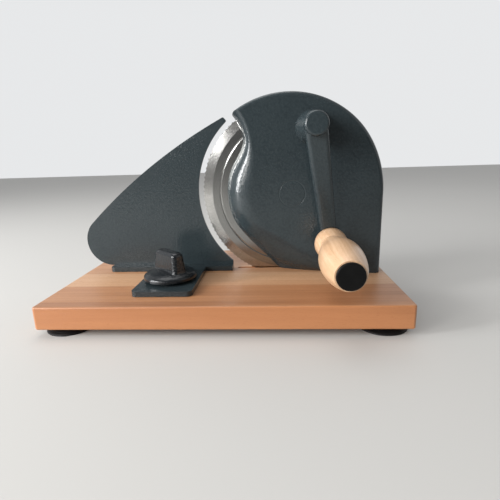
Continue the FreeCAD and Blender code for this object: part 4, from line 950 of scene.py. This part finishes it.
@dataclass(frozen=True)
class Screw:
    """A screw whose innermost rings take the form of the recess in its head.

    The head is a profile of (radius, along, rounding) from the seat out, in millimetres.
    """

    head: tuple[tuple[float, float, float], ...]
    shank: float
    length: float
    drive: Drive
    recess: float
    depth: float
    arm_share: float = 0.22

    def mouth(self, turn: Array) -> Array:
        """Radius of the recess at each angle: a cross or a hexagon seen from its middle."""
        if self.drive is Drive.HEX:
            folded = np.mod(turn + np.pi / 6, np.pi / 3) - np.pi / 6
            return self.recess * math.cos(math.pi / 6) / np.cos(folded)
        cosine = np.maximum(np.abs(np.cos(turn)), TINY)
        sine = np.maximum(np.abs(np.sin(turn)), TINY)
        half = self.recess * self.arm_share
        return np.maximum(np.minimum(self.recess / cosine, half / sine),
                          np.minimum(self.recess / sine, half / cosine))

    def make(self, name: str, spindle: Spindle) -> bpy.types.Object:
        """Make the screw; its head faces along the spindle and its foot point is the seat.

        Args:
            name: the piece's name.
            spindle: the axis, pointing out of the head.

        Returns:
            The new object.
        """
        turn = full_turn(96)[None, :]
        outside = np.concatenate([
            [(0.3, -self.length), (self.shank * 0.6, -self.length),
             (self.shank, -self.length + self.shank * 0.5), (self.shank, 0.0)],
            rounded_profile(self.head, 4)])
        rings = np.array([(1.06, 0.0), (1.0, 0.06), (0.92, self.depth * 0.6),
                          (0.80, self.depth), (0.15, self.depth * 1.1)])
        radius = np.concatenate([
            np.repeat(outside[:, :1], turn.size, axis=1), self.mouth(turn) * rings[:, :1]])
        level = np.concatenate([outside[:, 1:], outside[-1, 1] - rings[:, 1:]])
        return closed_mesh(name, spindle.points(radius, turn, level))


@dataclass
class Fasteners(Group):
    """The screws, each with its drive."""

    kept: dict[str, Finish] = field(default_factory=lambda: {"plate_screws": Finish.ZINC})
    foot_seat: float = -26.0
    housing_seat: float = -10.8
    housing_middles: tuple[tuple[float, float], ...] = ((8.0, 6.6), (45.0, 11.5), (80.0, 14.0))
    gear_circle: float = 30.0

    def rows(self) -> list[tuple[str, str, str, Screw, list[Spindle]]]:
        """Name, body, node, screw and axes of each kind of screw."""
        down, back = np.array(Facing.DOWN.value), np.array(Facing.BACK.value)
        foot = Screw(
            ((2.0, 0.0, 0.0), (3.9, 0.0, 0.3), (3.5, 1.0, 0.6), (2.6, 1.6, 0.5)),
            shank=2.0, length=13.8, drive=Drive.CROSS, recess=1.7, depth=1.1)
        housing = Screw(
            ((2.5, 0.0, 0.0), (5.0, 0.0, 0.3), (4.9, 1.4, 0.8), (4.0, 2.5, 0.6)),
            shank=2.5, length=25.8, drive=Drive.HEX, recess=2.2, depth=1.4)
        gear = Screw(
            ((2.0, 0.0, 0.0), (3.95, 0.0, 0.2), (3.4, 0.75, 0.5), (2.7, 1.0, 0.3)),
            shank=2.0, length=9.9, drive=Drive.CROSS, recess=1.6, depth=0.8)
        gear_spots = [(self.gear_circle * math.cos(turn), self.gear_circle * math.sin(turn))
                      for turn in np.radians([45, 135, 225, 315])]
        return [
            ("foot_screw", "base", "foot_screws", foot,
             [Spindle(place(x, forward, self.foot_seat), down) for x, forward in Board.middles]),
            ("housing_screw", "base", "housing_screws", housing,
             [Spindle(place(x, forward, self.housing_seat), down)
              for x, forward in self.housing_middles]),
            ("gear_screw", "blade_wheel", "gear_screws", gear,
             [Spindle(place(x, 0.0, AXIS_HEIGHT + up), back) for x, up in gear_spots]),
        ]

    def build(self) -> None:
        """Make every screw; the first of each kind stands for the node."""
        for stem, body, node, screw, spindles in self.rows():
            for number, spindle in enumerate(spindles, 1):
                piece = screw.make(f"{stem}_{number}", spindle)
                self.add(piece, body, Finish.ZINC, *((node,) if number == 1 else ()))
        self.dress_kept()


# ---------------------------------------------------------------- studio
@dataclass(frozen=True)
class Viewpoint:
    """Where the camera stands and how it is aimed."""

    position: tuple[float, float, float] = (0.046368, -0.374942, 0.149472)
    pitch: float = 0.24359
    yaw: float = -0.06229
    roll: float = 0.03062
    focal: float = 369.26
    frame_width: float = 500.0
    sensor: float = 36.0

    def make(self) -> None:
        """Create the camera: its back, right and up directions follow from pitch, yaw and roll."""
        pitch, yaw = self.pitch, self.yaw
        ahead = np.array([
            math.sin(yaw) * math.cos(pitch), math.cos(yaw) * math.cos(pitch), -math.sin(pitch)])
        right = np.array([math.cos(yaw), -math.sin(yaw), 0.0])
        down = np.cross(ahead, right)
        side = math.cos(self.roll) * right + math.sin(self.roll) * down
        below = math.cos(self.roll) * down - math.sin(self.roll) * right
        matrix = np.eye(4)
        matrix[:3] = np.stack([side, -below, -ahead, self.position], axis=1)
        data = bpy.data.cameras.new("camera")
        data.sensor_width = self.sensor
        data.lens = self.focal / self.frame_width * self.sensor
        data.clip_start = 0.01
        camera = bpy.data.objects.new("camera", data)
        bpy.context.scene.collection.objects.link(camera)
        camera.matrix_world = matrix.T.tolist()
        bpy.context.scene.camera = camera


@dataclass(frozen=True)
class Lamp:
    """A soft rectangular light aimed at the slicer."""

    name: str
    position: tuple[float, float, float]
    size: tuple[float, float]
    power: float
    colour: Colour = (1.0, 1.0, 1.0)
    aim: tuple[float, float, float] = (0.0, 0.0, 0.09)

    def make(self) -> None:
        """Create the light."""
        data = bpy.data.lights.new(self.name, "AREA")
        data.shape = "RECTANGLE"
        data.size, data.size_y = self.size
        data.energy = self.power
        data.color = self.colour
        lamp = bpy.data.objects.new(self.name, data)
        bpy.context.scene.collection.objects.link(lamp)
        back = np.array(self.position) - np.array(self.aim)
        back = back / np.linalg.norm(back)
        right = np.cross([0.0, 0.0, 1.0], back)
        right = right / np.linalg.norm(right)
        matrix = np.eye(4)
        matrix[:3] = np.stack([right, np.cross(back, right), back, self.position], axis=1)
        lamp.matrix_world = matrix.T.tolist()


@dataclass
class Studio:
    """Pale floor, soft lights and the camera."""

    lamps: tuple[Lamp, ...] = (
        Lamp("window", (-1.03, -0.99, 0.57), (0.44, 0.65), 11.8, (1.0, 0.99, 0.97)),
        Lamp("strip", (-1.38, -0.60, 0.55), (0.26, 0.91), 31.0, (0.98, 0.99, 1.0)),
        Lamp("side", (1.3, -0.5, 0.7), (0.8, 0.9), 0.8, (0.97, 0.98, 1.0)),
        Lamp("low", (-0.68, -1.50, 0.50), (0.29, 0.18), 4.1),
        Lamp("top", (-0.25, 0.3, 1.6), (1.2, 1.0), 7.6),
    )
    ahead: Colour = (0.15, 0.15, 0.15)
    around: Colour = (0.80, 0.81, 0.82)
    floor_half: float = 4.0
    floor_lines: int = 5

    def make_floor(self) -> None:
        """A flat grid wide enough to reach the horizon."""
        across = np.linspace(-self.floor_half, self.floor_half, self.floor_lines)
        x, y = np.meshgrid(across, across)
        points = np.stack([x, y, np.zeros_like(x)], axis=-1).reshape(-1, 3)
        here = np.arange(x.size).reshape(x.shape)
        corners = [here[:-1, :-1], here[:-1, 1:], here[1:, 1:], here[1:, :-1]]
        quads = np.stack(corners, axis=-1).reshape(-1, 4)
        floor = mesh_object("studio_floor", points, quads, NO_FANS)
        floor.data.materials.append(BareFloor().make())

    def make_surroundings(self) -> None:
        """Pale surroundings, dimmer in front of the slicer, where a room would be."""
        sheet = Sheet(bpy.data.worlds.new("studio"))
        direction = Wire(sheet, sheet.node("ShaderNodeTexCoord", {}, {}).outputs["Generated"])
        right, back, up = sheet.parts(direction)
        share = (back + up * 0.6 - right * 0.3).step(-0.75, 0.35)
        colour = sheet.blend(share, self.ahead, self.around)
        colour = sheet.blend(up.step(0.3, 0.9) * 0.45, colour, self.ahead)
        background = sheet.node("ShaderNodeBackground", {}, {"Color": colour, "Strength": 1.0})
        output = sheet.node("ShaderNodeOutputWorld", {}, {})
        sheet.tree.links.new(background.outputs[0], output.inputs[0])
        bpy.context.scene.world = sheet.owner

    def make(self) -> None:
        """Create the floor, the lights, the surroundings and the camera."""
        self.make_floor()
        for lamp in self.lamps:
            lamp.make()
        self.make_surroundings()
        bpy.context.scene.view_settings.view_transform = "Standard"
        Viewpoint().make()


def grip_axis() -> Spindle:
    """Axis of the grip: it starts at the arm's eye and leans outward along the arm."""
    rest, lean = math.radians(CRANK_REST), math.radians(GRIP_LEAN)
    outward = np.array([math.cos(rest), 0.0, math.sin(rest)])
    direction = math.cos(lean) * np.array(Facing.FRONT.value) + math.sin(lean) * outward
    reach_x, reach_up = CRANK_RADIUS * math.cos(rest), CRANK_RADIUS * math.sin(rest)
    middle = place(CRANK_X + reach_x, EYE_FRONT, CRANK_HEIGHT + reach_up)
    return Spindle(middle + direction * GRIP_GAP / 1000, direction)


def main() -> None:
    """Build the studio and each sub-assembly in order."""
    logging.basicConfig(level=logging.INFO, format="%(message)s")
    Studio().make()
    axis = grip_axis()
    turn_z = math.atan2(axis.direction[0], -axis.direction[1])
    turn_x = math.asin(-axis.direction[2])
    palette = Palette(axis.foot, (turn_x, 0.0, turn_z))
    groups: list[Group] = [
        Housing(palette), Blade(palette), Crank(palette), Grip(palette, spindle=axis),
        Board(palette), Slide(palette), Clamp(palette), Fasteners(palette)]
    for group in groups:
        group.build()


if __name__ == "__main__":
    main()
